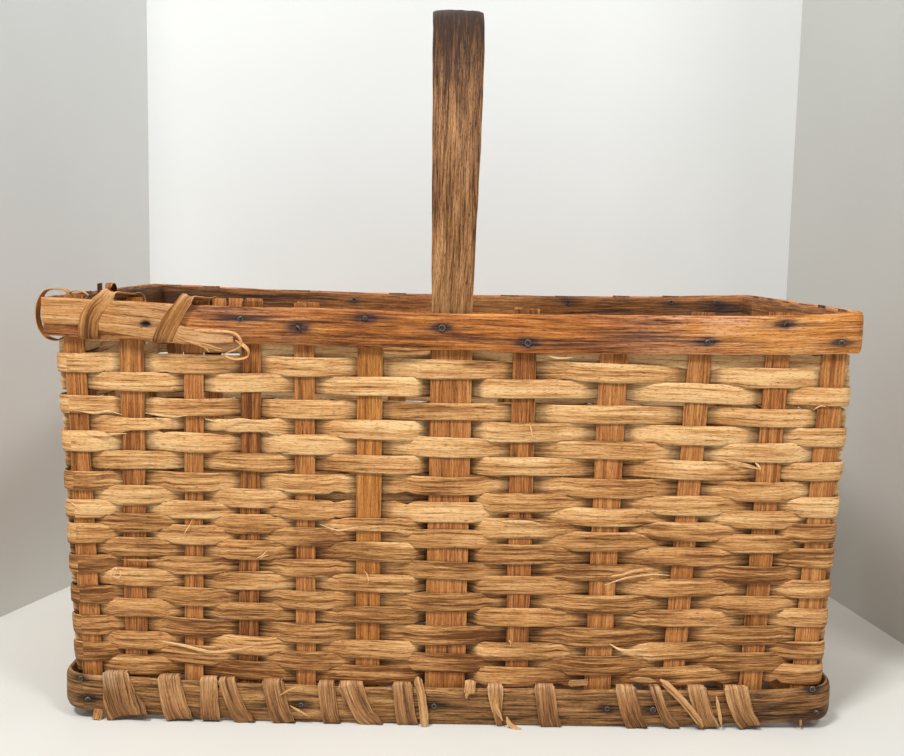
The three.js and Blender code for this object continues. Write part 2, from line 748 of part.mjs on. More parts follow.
CROSS_STAKE_SHARES.forEach((stake, index) => {
  add(`cross_stake_${String(index + 1).padStart(2, "0")}`, makeCrossStake(stake), stakeWood);
});
for (let index = 0; index < SIDE_STAKE_COUNT; index += 1) {
  add(`long_stake_${index + 1}`, makeLongStake(index), stakeWood);
}
ROW_SHARES.forEach((_, row) => {
  add(`weaver_${String(row + 1).padStart(2, "0")}`, makeWeaver(row), weaverWood);
});
add("outer_rim", makeOuterRim(), rimWood);
add("inner_rim", makeInnerRim(), rimWood);
add("rim_patch", makeRimPatch(), patchWood);
add("foot_hoop", makeFootHoop(), hoopWood);
add("handle", makeHandle(), handleWood);
add("rim_lashing", makeRimLashing(), lashWood);
add("rim_lashing_corner", makeCornerLoop(), lashWood);
["front", "right", "back", "left"].forEach((side, index) => {
  const name = `foot_lashing_${side}`;
  add(name, makeFootLashing(WALLS[index], name), lashWood);
});

// Each nail goes through the outer rim and what stands behind it, into the inner rim.
const nailed = basket.children.filter(({ name }) => /rim$|patch|handle|cross_stake/.test(name));

function drive(name, share, length, back) {
  const place = rimPlace(share, back);
  const turn = back ? Math.PI : 0;
  const tool = nailShape(length, CLEARANCE).rotateZ(turn).translate(...place);
  const hole = toManifold(solidOf(tool));
  nailed.forEach((mesh) => {
    mesh.geometry = drilled(mesh.geometry, hole);
  });
  if (name) {
    const nail = add(name, nailShape(length, 0), iron);
    nail.rotation.z = turn;
    nail.position.copy(place);
  }
}

drive("handle_nail_front", HANDLE_NAIL_SHARE, NAIL_LENGTH + legLayer, false);
drive("handle_nail_back", HANDLE_NAIL_SHARE, NAIL_LENGTH + legLayer, true);
RIM_NAIL_SHARES.forEach((share, index) => {
  drive(`rim_nail_${index + 1}`, share, NAIL_LENGTH, false);
});
drive(null, EMPTY_HOLE_SHARE, PATCH_THICKNESS, false);

export default basket;
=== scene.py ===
"""An old splint basket with a fixed bow handle: its looks, made around its CAD frame, in metres."""

import logging
import math
import random
from bisect import bisect_right
from dataclasses import dataclass, field
from enum import Enum
from typing import Callable, Iterable, Sequence

import bmesh
import bpy
from mathutils import Matrix, Vector, noise


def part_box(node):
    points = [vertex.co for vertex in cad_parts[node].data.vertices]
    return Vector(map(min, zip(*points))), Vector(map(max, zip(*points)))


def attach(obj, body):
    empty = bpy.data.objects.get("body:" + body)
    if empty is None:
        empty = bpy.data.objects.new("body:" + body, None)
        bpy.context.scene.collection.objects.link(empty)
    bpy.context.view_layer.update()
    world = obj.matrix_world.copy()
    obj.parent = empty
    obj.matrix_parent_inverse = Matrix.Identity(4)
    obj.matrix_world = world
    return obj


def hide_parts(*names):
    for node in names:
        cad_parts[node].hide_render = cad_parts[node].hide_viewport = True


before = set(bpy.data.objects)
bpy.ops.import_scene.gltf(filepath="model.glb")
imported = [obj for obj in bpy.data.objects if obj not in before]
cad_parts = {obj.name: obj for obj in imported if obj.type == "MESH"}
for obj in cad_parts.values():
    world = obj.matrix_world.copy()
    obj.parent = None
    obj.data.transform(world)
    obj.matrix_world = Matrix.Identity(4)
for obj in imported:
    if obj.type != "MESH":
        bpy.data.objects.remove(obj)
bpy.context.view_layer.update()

log = logging.getLogger("basket")

MM = 0.001
UP = Vector((0.0, 0.0, 1.0))
# Painted shade on the inner faces of the stakes and the weavers, for the shade inside the basket.
INSIDE_SHADE = 0.6
SHARP_EDGE = math.radians(50)
NOISE_SEED = 1

Tint = tuple[int, int, int]
Socket = bpy.types.NodeSocket


def linear(tint: Tint) -> tuple[float, float, float, float]:
    """Turns a printed colour, out of 255, into the shader's linear scale, by the sRGB curve."""
    shares = [channel / 255 for channel in tint]
    red, green, blue = (((s + 0.055) / 1.055) ** 2.4 if s > 0.04 else s / 12.92 for s in shares)
    return red, green, blue, 1.0


def mix(start: float, end: float, share: float) -> float:
    """Returns the number that lies that share of the way from start to end."""
    return start + (end - start) * share


def ease(share: float) -> float:
    """Returns a share from 0 to 1 that starts and ends softly."""
    share = min(max(share, 0.0), 1.0)
    return share * share * (3.0 - 2.0 * share)


def bracket(places: Sequence[float], place: float) -> tuple[int, float]:
    """Finds a place in a rising row of places.

    Args:
        places: The row.
        place: What is looked for. It may lie before the first or after the last.

    Returns:
        The number of the place that follows it, and its share of the way there from the one before.
    """
    after = min(max(bisect_right(places, place), 1), len(places) - 1)
    start, end = places[after - 1], places[after]
    share = (place - start) / (end - start) if end > start else 0.0
    return after, min(max(share, 0.0), 1.0)


class Bench:
    """The node tree of one material, with short ways to add what the finishes need."""

    def __init__(self, name: str) -> None:
        """Starts a material with that name and one plain shader."""
        self.material = bpy.data.materials.new(name)
        self.material.use_nodes = True
        self.tree = self.material.node_tree
        self.shader = self.tree.nodes["Principled BSDF"]

    def put(self, socket: Socket, value: object) -> None:
        """Joins a socket to another one, or gives it a plain value.

        Args:
            socket: The input.
            value: The output that feeds it, or its own value.
        """
        if isinstance(value, bpy.types.NodeSocket):
            self.tree.links.new(value, socket)
        else:
            socket.default_value = value

    def add(self, kind: str, inputs: dict | None = None, **settings: object) -> bpy.types.Node:
        """Adds a node.

        Args:
            kind: The node's type name.
            inputs: Values or sockets for its inputs, by name or number.
            settings: Its own settings.

        Returns:
            The node.
        """
        node = self.tree.nodes.new(kind)
        for name, value in settings.items():
            setattr(node, name, value)
        for name, value in (inputs or {}).items():
            self.put(node.inputs[name], value)
        return node

    def math(self, operation: str, first: object, second: object = 0.0) -> Socket:
        """Returns the result of a sum on two values."""
        return self.add("ShaderNodeMath", {0: first, 1: second}, operation=operation).outputs[0]

    def times(self, first: object, second: object) -> Socket:
        """Returns the product of two values."""
        return self.math("MULTIPLY", first, second)

    def total(self, *parts: tuple[Socket, float]) -> Socket:
        """Adds up several values.

        Args:
            parts: Each value and its weight.

        Returns:
            The weighted sum.
        """
        result: object = 0.0
        for value, weight in parts:
            inputs = {0: value, 1: weight, 2: result}
            result = self.add("ShaderNodeMath", inputs, operation="MULTIPLY_ADD").outputs[0]
        return result

    def blend(self, factor: object, under: object, over: object, way: str = "MIX") -> Socket:
        """Returns one colour laid over another."""
        inputs = {0: factor, 6: under, 7: over}
        return self.add("ShaderNodeMix", inputs, data_type="RGBA", blend_type=way).outputs[2]

    def span(self, value: object, low: float, high: float, start: float = 0.0, end: float = 1.0) -> Socket:
        """Returns a value moved from one range to another, and held inside it."""
        inputs = {"Value": value, "From Min": low, "From Max": high, "To Min": start, "To Max": end}
        return self.add("ShaderNodeMapRange", inputs).outputs["Result"]

    def attribute(self, name: str) -> Socket:
        """Returns a number that the mesh carries at its points."""
        return self.add("ShaderNodeAttribute", attribute_name=name).outputs["Fac"]

    def speckle(
        self, place: Socket, stretch: Sequence[float], detail: float = 3.0, roughness: float = 0.55,
    ) -> Socket:
        """Adds a pattern of clouds.

        Args:
            place: Where the pattern is read.
            stretch: How many clouds there are to a metre, each way.
            detail: How many finer layers there are.
            roughness: How strong the finer layers are.

        Returns:
            The clouds, from 0 to 1.
        """
        spread = self.add("ShaderNodeMapping", {"Vector": place, "Scale": tuple(stretch)})
        inputs = {"Vector": spread.outputs[0], "Scale": 1.0, "Detail": detail, "Roughness": roughness}
        return self.add("ShaderNodeTexNoise", inputs).outputs[0]

    def ramp(self, factor: Socket, stops: Iterable[tuple[float, Tint]]) -> Socket:
        """Picks a colour along a row of colours.

        Args:
            factor: The place along the row.
            stops: Each colour's place, and the colour.

        Returns:
            The colour there.
        """
        node = self.add("ShaderNodeValToRGB", {"Fac": factor})
        elements = node.color_ramp.elements
        for index, (place, tint) in enumerate(stops):
            stop = elements[index] if index < 2 else elements.new(place)
            stop.position = place
            stop.color = linear(tint)
        return node.outputs["Color"]


@dataclass(frozen=True)
class WoodFinish:
    """The look of one kind of split wood, from its dark fibres to its light ones."""

    name: str
    slot: str
    dark: Tint
    middle: Tint
    light: Tint
    # The colour of pores, soiling and the painted shade.
    grime_and_shade: Tint = (58, 36, 20)
    iron: Tint = (38, 34, 40)
    pale: Tint = (216, 178, 142)
    pores: float = 0.6
    weather: float = 0.3
    roughness: float = 0.6
    relief: float = 0.5
    fibre: float = 0.0005
    low: float = 0.4
    high: float = 0.61

    SHEEN = 0.22
    WAVER = 2.5 * MM
    RELIEF_DEPTH = 0.5 * MM
    # Where a pattern turns into a mark: the pattern's range and, in some, the mark's strength at both ends.
    SCUFFS = (0.47, 0.62, 0.0, 0.85)
    PITS = (0.6, 0.7)
    CRACKED_BANDS = (0.42, 0.33)
    CRACKED_FIBRES = (0.56, 0.4)
    WEATHERED = (0.42, 0.72)
    RUBBED_EDGE = (0.86, 1.0, 0.0, 0.45)
    RUBBED_BANDS = (0.4, 0.6)
    DIRT_AND_SHADE = (0.3, 0.7, 0.55, 1.0)
    RUST = (0.64, 0.44, 0.7, 1.0)
    POLISH = (0.15, 0.45)

    def make(self) -> bpy.types.Material:
        """Makes the material: long fibres, open pores, worn edges, soiling mixed with painted shade, and iron
        stains.

        Returns:
            The material.
        """
        bench = Bench(self.name)
        grain = bench.add("ShaderNodeUVMap", uv_map="grain").outputs[0]
        solid = bench.add("ShaderNodeTexCoord").outputs["Object"]
        sway = bench.speckle(grain, (14.0, 70.0, 1.0), 2.0)
        shift = bench.add("ShaderNodeCombineXYZ", {1: bench.times(sway, self.WAVER)}).outputs[0]
        wavy = bench.add("ShaderNodeVectorMath", {0: grain, 1: shift}, operation="ADD").outputs[0]

        across = 1.0 / self.fibre
        broad = bench.speckle(wavy, (11.0, across / 9.0, 1.0), 3.0)
        bands = bench.speckle(wavy, (24.0, across / 3.0, 1.0), 3.0, 0.6)
        fine = bench.speckle(wavy, (70.0, across, 1.0), 3.0, 0.7)
        pits = bench.speckle(wavy, (260.0, across * 1.4, 1.0), 1.0)
        clouds = bench.speckle(solid, (17.0, 17.0, 24.0), 4.0, 0.6)
        names = ("tone", "soil", "edge", "wear", "iron")
        tone, soil, edge, wear, iron = (bench.attribute(name) for name in names)

        figure = bench.total((broad, 0.32), (bands, 0.32), (fine, 0.36), (tone, 0.12))
        stops = (
            (self.low, self.dark),
            (mix(self.low, self.high, 0.5), self.middle),
            (self.high, self.light),
        )
        colour = bench.ramp(figure, stops)
        scuffed = bench.span(bench.total((clouds, 0.34), (bands, 0.36), (fine, 0.3)), *self.SCUFFS)
        colour = bench.blend(bench.times(wear, scuffed), colour, linear(self.pale))
        crack = bench.times(bench.span(bands, *self.CRACKED_BANDS), bench.span(fine, *self.CRACKED_FIBRES))
        pore = bench.math("MAXIMUM", bench.span(pits, *self.PITS), crack)
        colour = bench.blend(bench.times(pore, self.pores), colour, linear(self.grime_and_shade))
        worn = bench.times(bench.span(clouds, *self.WEATHERED), self.weather)
        colour = bench.blend(worn, colour, linear(self.grime_and_shade), "SOFT_LIGHT")
        lightened_edge = bench.times(bench.span(edge, *self.RUBBED_EDGE), bench.span(bands, *self.RUBBED_BANDS))
        colour = bench.blend(lightened_edge, colour, linear(self.light))
        # Darkens by soiling, and by painted shade behind the stakes, on inner faces and under lower edges.
        dirt_and_shade = bench.times(soil, bench.span(bench.total((fine, 0.5), (clouds, 0.5)), *self.DIRT_AND_SHADE))
        colour = bench.blend(dirt_and_shade, colour, linear(self.grime_and_shade), "MULTIPLY")
        rust = bench.times(iron, bench.span(bench.total((bands, 0.6), (fine, 0.4)), *self.RUST))
        colour = bench.blend(rust, colour, linear(self.iron))
        bench.put(bench.shader.inputs["Base Color"], colour)

        polish = bench.total((fine, 0.3), (clouds, 0.25))
        rough = bench.span(polish, *self.POLISH, self.roughness - 0.1, self.roughness + 0.15)
        bench.put(bench.shader.inputs["Roughness"], rough)
        bench.shader.inputs["Specular IOR Level"].default_value = self.SHEEN
        height = bench.total((fine, 0.5), (bands, 0.6), (pore, -0.5))
        inputs = {"Height": height, "Strength": self.relief, "Distance": self.RELIEF_DEPTH}
        bench.put(bench.shader.inputs["Normal"], bench.add("ShaderNodeBump", inputs).outputs[0])
        return bench.material


@dataclass(frozen=True)
class IronFinish:
    """Old hand-made nails: dark skin, a painted highlight round the rims, a little rust."""

    name: str = "nail_iron_finish"
    slot: str = "nail_iron"
    skin: Tint = (52, 47, 46)
    bright: Tint = (150, 145, 138)
    rust: Tint = (74, 50, 38)
    metallic: float = 0.75
    relief: float = 0.5
    relief_depth: float = 0.3 * MM

    def make(self) -> bpy.types.Material:
        """Makes the material: forged skin with rust in its hollows, bright high spots, and a painted
        highlight round the rim.

        Returns:
            The material.
        """
        bench = Bench(self.name)
        solid = bench.add("ShaderNodeTexCoord").outputs["Object"]
        coarse = bench.speckle(solid, (900.0,) * 3, 3.0)
        small = bench.speckle(solid, (2600.0,) * 3, 3.0)
        colour = bench.blend(bench.span(coarse, 0.45, 0.6), linear(self.skin), linear(self.rust))
        colour = bench.blend(bench.span(small, 0.56, 0.7), colour, linear(self.bright))
        # A painted highlight in a ring round the head's rim.
        lightened_edge = bench.times(bench.attribute("edge"), bench.span(coarse, 0.35, 0.5))
        colour = bench.blend(lightened_edge, colour, linear(self.bright))
        bench.put(bench.shader.inputs["Base Color"], colour)
        bench.shader.inputs["Metallic"].default_value = self.metallic
        bench.put(bench.shader.inputs["Roughness"], bench.span(coarse, 0.3, 0.7, 0.4, 0.65))
        inputs = {"Height": small, "Strength": self.relief, "Distance": self.relief_depth}
        bench.put(bench.shader.inputs["Normal"], bench.add("ShaderNodeBump", inputs).outputs[0])
        return bench.material


class Finish(Enum):
    """Every finish on the basket."""

    WEAVER = WoodFinish(
        "weaver_finish", "weaver_splint", (116, 68, 28), (214, 155, 93), (252, 208, 148), pores=0.75,
        pale=(238, 210, 170),
    )
    STAKE = WoodFinish(
        "stake_finish", "stake_splint", (108, 60, 26), (182, 114, 57), (222, 158, 94), pores=0.7,
        fibre=0.0004,
    )
    AMBER = WoodFinish(
        "amber_stake_finish", "stake_splint", (114, 62, 22), (180, 112, 48), (218, 152, 80), pores=0.7,
        fibre=0.0004,
    )
    RIM = WoodFinish(
        "rim_finish", "rim_wood", (92, 47, 17), (186, 112, 46), (234, 162, 84), weather=0.7, pores=0.8,
        pale=(240, 206, 176),
    )
    BACK_RIM = WoodFinish(
        "inner_rim_finish", "rim_wood", (88, 48, 19), (164, 105, 50), (214, 150, 84), weather=0.8, pores=0.8,
    )
    PATCH = WoodFinish(
        "patch_finish", "patch_wood", (132, 78, 34), (202, 143, 82), (232, 180, 122), weather=0.5, pores=0.7,
    )
    HOOP = WoodFinish(
        "hoop_finish", "hoop_wood", (62, 36, 16), (158, 106, 56), (218, 168, 106), pores=0.85, weather=0.6,
        iron=(32, 20, 12), pale=(204, 166, 114), low=0.415, high=0.6,
    )
    HANDLE = WoodFinish(
        "handle_finish", "handle_wood", (68, 38, 12), (148, 100, 54), (196, 148, 98), pores=0.9, relief=0.8,
        pale=(186, 142, 104),
    )
    RIM_LASH = WoodFinish(
        "rim_lash_finish", "rim_lash_splint", (112, 66, 28), (178, 120, 62), (214, 160, 100),
    )
    FOOT_LASH = WoodFinish(
        "foot_lash_finish", "foot_lash_splint", (94, 60, 32), (176, 124, 76), (222, 174, 118),
        pale=(210, 186, 154),
    )
    IRON = IronFinish()

    def material(self) -> bpy.types.Material:
        """Returns the finish's material, made once."""
        return bpy.data.materials.get(self.value.name) or self.value.make()


class Wall(Enum):
    """The four walls in the order in which a splint passes them: the way along each, and out of it."""

    FRONT = ((1.0, 0.0), (0.0, -1.0))
    RIGHT = ((0.0, 1.0), (1.0, 0.0))
    BACK = ((-1.0, 0.0), (0.0, 1.0))
    LEFT = ((0.0, -1.0), (-1.0, 0.0))

    @property
    def along(self) -> Vector:
        """The way along the wall, anticlockwise when seen from above."""
        return Vector((*self.value[0], 0.0))

    @property
    def out(self) -> Vector:
        """The way out of the basket."""
        return Vector((*self.value[1], 0.0))

    @property
    def long(self) -> bool:
        """True for the front and the back."""
        return self in (Wall.FRONT, Wall.BACK)


@dataclass(frozen=True)
class Loop:
    """A rounded rectangle in plan. Runs along it count from the left end of the front's straight."""

    half_x: float
    half_y: float
    radius: float

    def straight(self, wall: Wall) -> float:
        """Returns the length of a wall's straight."""
        return 2.0 * ((self.half_x if wall.long else self.half_y) - self.radius)

    @property
    def bend(self) -> float:
        """The length of one corner."""
        return self.radius * math.pi / 2

    @property
    def length(self) -> float:
        """The whole way round."""
        return sum(self.straight(wall) + self.bend for wall in Wall)

    def run_of(self, wall: Wall, place: float) -> float:
        """Finds how far round the loop a place lies.

        Args:
            wall: The wall that it is on.
            place: How far it is along the wall from the wall's middle.

        Returns:
            The run to it.
        """
        run = self.straight(wall) / 2 + place
        for other in Wall:
            if other is wall:
                return run
            run += self.straight(other) + self.bend
        raise ValueError(wall)

    def at(self, run: float) -> tuple[Vector, Vector]:
        """Finds the point at a run.

        Args:
            run: How far round it is, in any number of turns.

        Returns:
            The point, and the way out there.
        """
        run %= self.length
        for wall in Wall:
            straight = self.straight(wall)
            reach = self.half_y if wall.long else self.half_x
            if run <= straight:
                return wall.along * (run - straight / 2) + wall.out * reach, wall.out
            run -= straight
            if run <= self.bend:
                angle = run / self.radius
                way = wall.out * math.cos(angle) + wall.along * math.sin(angle)
                return wall.along * straight / 2 + wall.out * (reach - self.radius) + way * self.radius, way
            run -= self.bend
        return self.at(0.0)

    def steps(self, spacing: float) -> Iterable[tuple[float, Vector, Vector]]:
        """Walks once round the loop in even steps.

        Args:
            spacing: How far apart the steps are at most.

        Returns:
            Each step's run, its point and the way out there.
        """
        count = math.ceil(self.length / spacing)
        for step in range(count):
            run = self.length * step / count
            yield (run, *self.at(run))


class Route:
    """A line through some corners, each rounded, that a strip is laid along."""

    STEPS = 10
    NEARLY_STRAIGHT = math.radians(88)
    LONGEST_REACH = 0.49
    PROBE = 0.4 * MM

    def __init__(self, corners: Sequence[Vector], radius: float) -> None:
        """Rounds the corners and measures the line.

        Args:
            corners: Where the line turns, with its two ends.
            radius: How round the corners are, where the line has room for it.
        """
        self.points = [corners[0]]
        turns = [0]
        for before, corner, after in zip(corners, corners[1:], corners[2:]):
            rounded = self.rounded(before, corner, after, radius)
            turns.append(len(self.points) + len(rounded) // 2)
            self.points.extend(rounded)
        turns.append(len(self.points))
        self.points.append(corners[-1])
        self.runs = [0.0]
        for start, end in zip(self.points, self.points[1:]):
            self.runs.append(self.runs[-1] + (end - start).length)
        self.corner_runs = [self.runs[turn] for turn in turns]

    def rounded(self, before: Vector, corner: Vector, after: Vector, radius: float) -> list[Vector]:
        """Rounds one corner.

        Args:
            before: The corner before it.
            corner: The corner.
            after: The one that follows.
            radius: How round it is.

        Returns:
            The points along the arc.
        """
        back, forth = before - corner, after - corner
        half_turn = back.angle(forth) / 2
        if half_turn > self.NEARLY_STRAIGHT:
            return [corner]
        longest = (self.LONGEST_REACH * back.length, self.LONGEST_REACH * forth.length)
        reach = min(radius / math.tan(half_turn), *longest)
        first, last = corner + back.normalized() * reach, corner + forth.normalized() * reach
        middle = corner + (back.normalized() + forth.normalized()).normalized() * reach / math.cos(half_turn)
        spoke, end = (first - middle).normalized(), (last - middle).normalized()
        curve = (first - middle).length
        return [middle + spoke.slerp(end, step / self.STEPS) * curve for step in range(self.STEPS + 1)]

    @property
    def length(self) -> float:
        """The line's whole length."""
        return self.runs[-1]

    def at(self, run: float) -> Vector:
        """Returns the point at a run."""
        after, share = bracket(self.runs, run)
        return self.points[after - 1].lerp(self.points[after], share)

    def heading(self, run: float) -> Vector:
        """Returns the way that the line goes at a run."""
        return (self.at(run + self.PROBE) - self.at(run - self.PROBE)).normalized()

    def value(self, run: float, values: Sequence[float]) -> float:
        """Returns the value at a run, from one value for each corner."""
        after, share = bracket(self.corner_runs, run)
        return mix(values[after - 1], values[after], share)


@dataclass
class Station:
    """One place along a strip: its middle, its faces' way out, the way across, and its section."""

    middle: Vector
    face: Vector
    side: Vector
    half_width: float
    half_thick: float
    cup: float = 0.0
    tone: float = 0.0
    # Darkening: soiling, and on the weavers painted shade behind the stakes.
    soil: float = 0.0
    wear: float = 0.0


@dataclass(frozen=True)
class Cut:
    """How a strip is split off the log: its mesh's lanes, and how rough its faces and edges are."""

    lanes: int = 6
    edge_share: float = 0.45
    ripple: float = 0.08 * MM
    ridge: float = 1.6 * MM
    ragged: float = 0.25 * MM
    rag_length: float = 14 * MM


Marks = Callable[[Vector], float]


@dataclass
class Strip:
    """A flat strip of wood that follows its stations."""

    name: str
    finish: Finish
    stations: list[Station]
    cut: Cut = Cut()
    closed: bool = False
    iron: Marks | None = None
    dent: Marks | None = None
    # Painted shade on the inner faces, and a painted shadow along the lower edge.
    inside_shade: float | None = None
    lower_edge_shadow: float = 0.0

    FLOOR = 0.1 * MM
    FRONT = -148.75 * MM
    EDGE_POWER = 6
    RIDGE_STRETCH = 18.0
    LOWER_EDGE = -0.98

    def __post_init__(self) -> None:
        """Measures the strip and picks the stretch of wood that it is cut from."""
        draw = random.Random(self.name)
        self.seed = draw.uniform(0.0, 60.0)
        places = [station.middle for station in self.stations]
        if self.closed:
            places.append(places[0])
        self.runs = [0.0]
        for start, end in zip(places, places[1:]):
            self.runs.append(self.runs[-1] + (end - start).length)

    def grain_place(self, unit: Vector) -> tuple[float, float]:
        """Returns where a point of the flat strip lies on its wood, along and across, in metres."""
        station = self.station(unit)
        across = self.lane(unit) * station.half_width + unit.z * station.half_thick
        return self.runs[self.index(unit)] + self.seed, across + self.seed

    def index(self, unit: Vector) -> int:
        """Returns the station that a point of the flat strip belongs to."""
        return round((unit.x + 1.0) / 2.0 * (len(self.runs) - 1))

    def station(self, unit: Vector) -> Station:
        """Returns the station of a point of the flat strip. A closed strip's last is its first again."""
        return self.stations[self.index(unit) % len(self.stations)]

    def lane(self, unit: Vector) -> float:
        """Returns how far across a point lies, from -1 to 1, with narrower lanes near the edges."""
        return math.sin(unit.y * math.pi / 2)

    def laid(self, unit: Vector) -> Vector:
        """Lays a point of the flat strip along the stations, with the wood's roughness.

        Args:
            unit: The point, from -1 to 1 each way.

        Returns:
            Its place in the basket.
        """
        station = self.station(unit)
        lane = self.lane(unit)
        edge = abs(lane) ** self.EDGE_POWER
        place = station.middle
        along = place * (1.0 / self.cut.rag_length)
        rag = noise.noise(along + Vector((self.seed, lane * 3.0, 0.0))) * self.cut.ragged
        across = lane * station.half_width + rag * lane * edge * lane
        ridge = place * (1.0 / (self.cut.ridge * self.RIDGE_STRETCH))
        ridge += station.side * (across / self.cut.ridge)
        swell = noise.noise(ridge + Vector((0.0, 0.0, self.seed + unit.z)))
        thick = station.half_thick * mix(1.0, self.cut.edge_share, edge)
        depth = unit.z * (thick + swell * self.cut.ripple * (1.0 - edge)) - station.cup * lane * lane
        if self.dent and unit.z > 0:
            depth -= self.dent(place + station.side * across)
        spot = place + station.side * across + station.face * depth
        spot.z = max(spot.z, self.FLOOR)
        spot.y = max(spot.y, self.FRONT)
        return spot

    def build(self, *stands_for: str) -> None:
        """Makes the strip and sets it in the basket.

        Args:
            stands_for: The frame's nodes that it takes the place of.
        """
        bm = bmesh.new()
        steps = len(self.runs) - 1
        bmesh.ops.create_grid(bm, x_segments=steps, y_segments=self.cut.lanes, size=1.0)
        raised = bmesh.ops.extrude_face_region(bm, geom=bm.faces[:])["geom"]
        lifted = [item for item in raised if isinstance(item, bmesh.types.BMVert)]
        bmesh.ops.translate(bm, verts=bm.verts, vec=(0.0, 0.0, -1.0))
        bmesh.ops.translate(bm, verts=lifted, vec=(0.0, 0.0, 2.0))
        if self.closed:
            ends = [face for face in bm.faces if len({round(v.co.x, 5) for v in face.verts}) == 1]
            bmesh.ops.delete(bm, geom=ends, context="FACES_ONLY")
        self.mark(bm)
        for vert in bm.verts:
            vert.co = self.laid(vert.co)
        if self.closed:
            bmesh.ops.remove_doubles(bm, verts=bm.verts, dist=1e-6)
        bmesh.ops.recalc_face_normals(bm, faces=bm.faces)
        fit_piece(self.name, bm, self.finish, stands_for)

    def mark(self, bm: bmesh.types.BMesh) -> None:
        """Writes what the finish reads: the grain's map, edges, tone, soiling with painted shade, and iron
        stains.

        Args:
            bm: The flat strip's mesh.
        """
        layers = {name: bm.verts.layers.float.new(name) for name in ("edge", "tone", "soil", "wear", "iron")}
        for vert in bm.verts:
            station = self.station(vert.co)
            vert[layers["edge"]] = abs(vert.co.y)
            vert[layers["tone"]] = station.tone
            # Inner faces take painted shade in place of the station's darkening; the lower edge adds a
            # painted shadow.
            inner = vert.co.z < 0 and self.inside_shade is not None
            under = self.lower_edge_shadow if vert.co.y < self.LOWER_EDGE else 0.0
            vert[layers["soil"]] = (self.inside_shade if inner else station.soil) + under
            vert[layers["wear"]] = station.wear
            if self.iron:
                across = self.lane(vert.co) * station.half_width
                vert[layers["iron"]] = self.iron(station.middle + station.side * across)
        grain = bm.loops.layers.uv.new("grain")
        for face in bm.faces:
            for loop in face.loops:
                loop[grain].uv = self.grain_place(loop.vert.co)


def fit_piece(name: str, bm: bmesh.types.BMesh, finish: Finish, stands_for: Sequence[str] = ()) -> None:
    """Turns a shaped mesh into a piece that rides on the basket's body.

    Args:
        name: The piece's name.
        bm: Its mesh, which is used up.
        finish: What its surface looks like.
        stands_for: The frame's nodes that it takes the place of.
    """
    mesh = bpy.data.meshes.new(name)
    bm.to_mesh(mesh)
    bm.free()
    mesh.polygons.foreach_set("use_smooth", [True] * len(mesh.polygons))
    mesh.set_sharp_from_angle(angle=SHARP_EDGE)
    mesh.materials.append(finish.material())
    piece = bpy.data.objects.new(name, mesh)
    bpy.context.scene.collection.objects.link(piece)
    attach(piece, "root")
    if stands_for:
        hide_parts(*stands_for)
    log.info("%s: %d faces", name, len(mesh.polygons))


def laid_along(
    route: Route,
    side: Vector,
    spacing: float,
    section: Callable[[float, float], dict],
    last_side: Vector | None = None,
) -> list[Station]:
    """Lays out a strip's stations along a route.

    Args:
        route: The middle of the strip.
        side: Roughly the way across the strip.
        spacing: How far apart the stations are.
        section: Gives a station's sizes from the run and its share of the whole.
        last_side: The way across at the end, for a strip that twists.

    Returns:
        The stations. Their faces look to the right of the route when side is up.
    """
    count = max(math.ceil(route.length / spacing), 2)
    stations = []
    for step in range(count + 1):
        run = route.length * step / count
        heading = route.heading(run)
        level = side.lerp(last_side, step / count) if last_side else side
        across = (level - heading * level.dot(heading)).normalized()
        sizes = section(run, step / count)
        stations.append(Station(route.at(run), heading.cross(across), across, **sizes))
    return stations


@dataclass(frozen=True)
class Leg:
    """One upright leg of a stake: its place along its wall and its reach from the middle, low and high."""

    heights: tuple[float, float]
    places: tuple[float, float]
    reaches: tuple[float, float]
    half: float

    def place(self, height: float) -> float:
        """Returns the leg's place along its wall at a height."""
        return mix(*self.places, (height - self.heights[0]) / (self.heights[1] - self.heights[0]))

    def reach(self, height: float) -> float:
        """Returns how far the leg's middle stands from the basket's middle at a height."""
        return mix(*self.reaches, (height - self.heights[0]) / (self.heights[1] - self.heights[0]))


@dataclass
class Frame:
    """What the frame says of the basket's form: its stakes' legs, and the boxes of its nodes."""

    cross_stakes: int = 12
    long_stakes: int = 6
    bend_top: float = 17 * MM
    upright_share: float = 0.9
    slice_half: float = 1.5 * MM
    legs: dict[Wall, list[Leg]] = field(init=False)

    def __post_init__(self) -> None:
        """Reads the stakes' legs, in the order in which a weaver meets them."""
        cross = [f"cross_stake_{index + 1:02d}" for index in range(self.cross_stakes)]
        side = [f"long_stake_{index + 1}" for index in range(self.long_stakes)]
        self.legs = {
            Wall.FRONT: [self.leg(name, Wall.FRONT) for name in cross],
            Wall.RIGHT: [self.leg(name, Wall.RIGHT) for name in side],
            Wall.BACK: [self.leg(name, Wall.BACK) for name in reversed(cross)],
            Wall.LEFT: [self.leg(name, Wall.LEFT) for name in reversed(side)],
        }

    def leg(self, name: str, wall: Wall) -> Leg:
        """Reads one leg from its node's corners.

        Args:
            name: The stake's node.
            wall: The wall that the leg is in.

        Returns:
            The leg.
        """
        corners = [vert.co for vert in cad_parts[name].data.vertices]
        outermost = max(corner.dot(wall.out) for corner in corners)
        corners = [corner for corner in corners if corner.dot(wall.out) > self.upright_share * outermost]
        top = max(corner.z for corner in corners)
        heights, places, reaches, halves = [], [], [], []
        for height in (self.bend_top, top):
            near = [corner for corner in corners if abs(corner.z - height) < self.slice_half]
            spots = [corner.dot(wall.along) for corner in near]
            heights.append(height)
            places.append((min(spots) + max(spots)) / 2)
            halves.append((max(spots) - min(spots)) / 2)
            reaches.append(sum(corner.dot(wall.out) for corner in near) / len(near))
        return Leg(tuple(heights), tuple(places), tuple(reaches), halves[1])

    def half(self, height: float) -> tuple[float, float]:
        """Returns the half sizes of the stakes' middle surface at a height."""
        return self.legs[Wall.RIGHT][0].reach(height), self.legs[Wall.FRONT][0].reach(height)


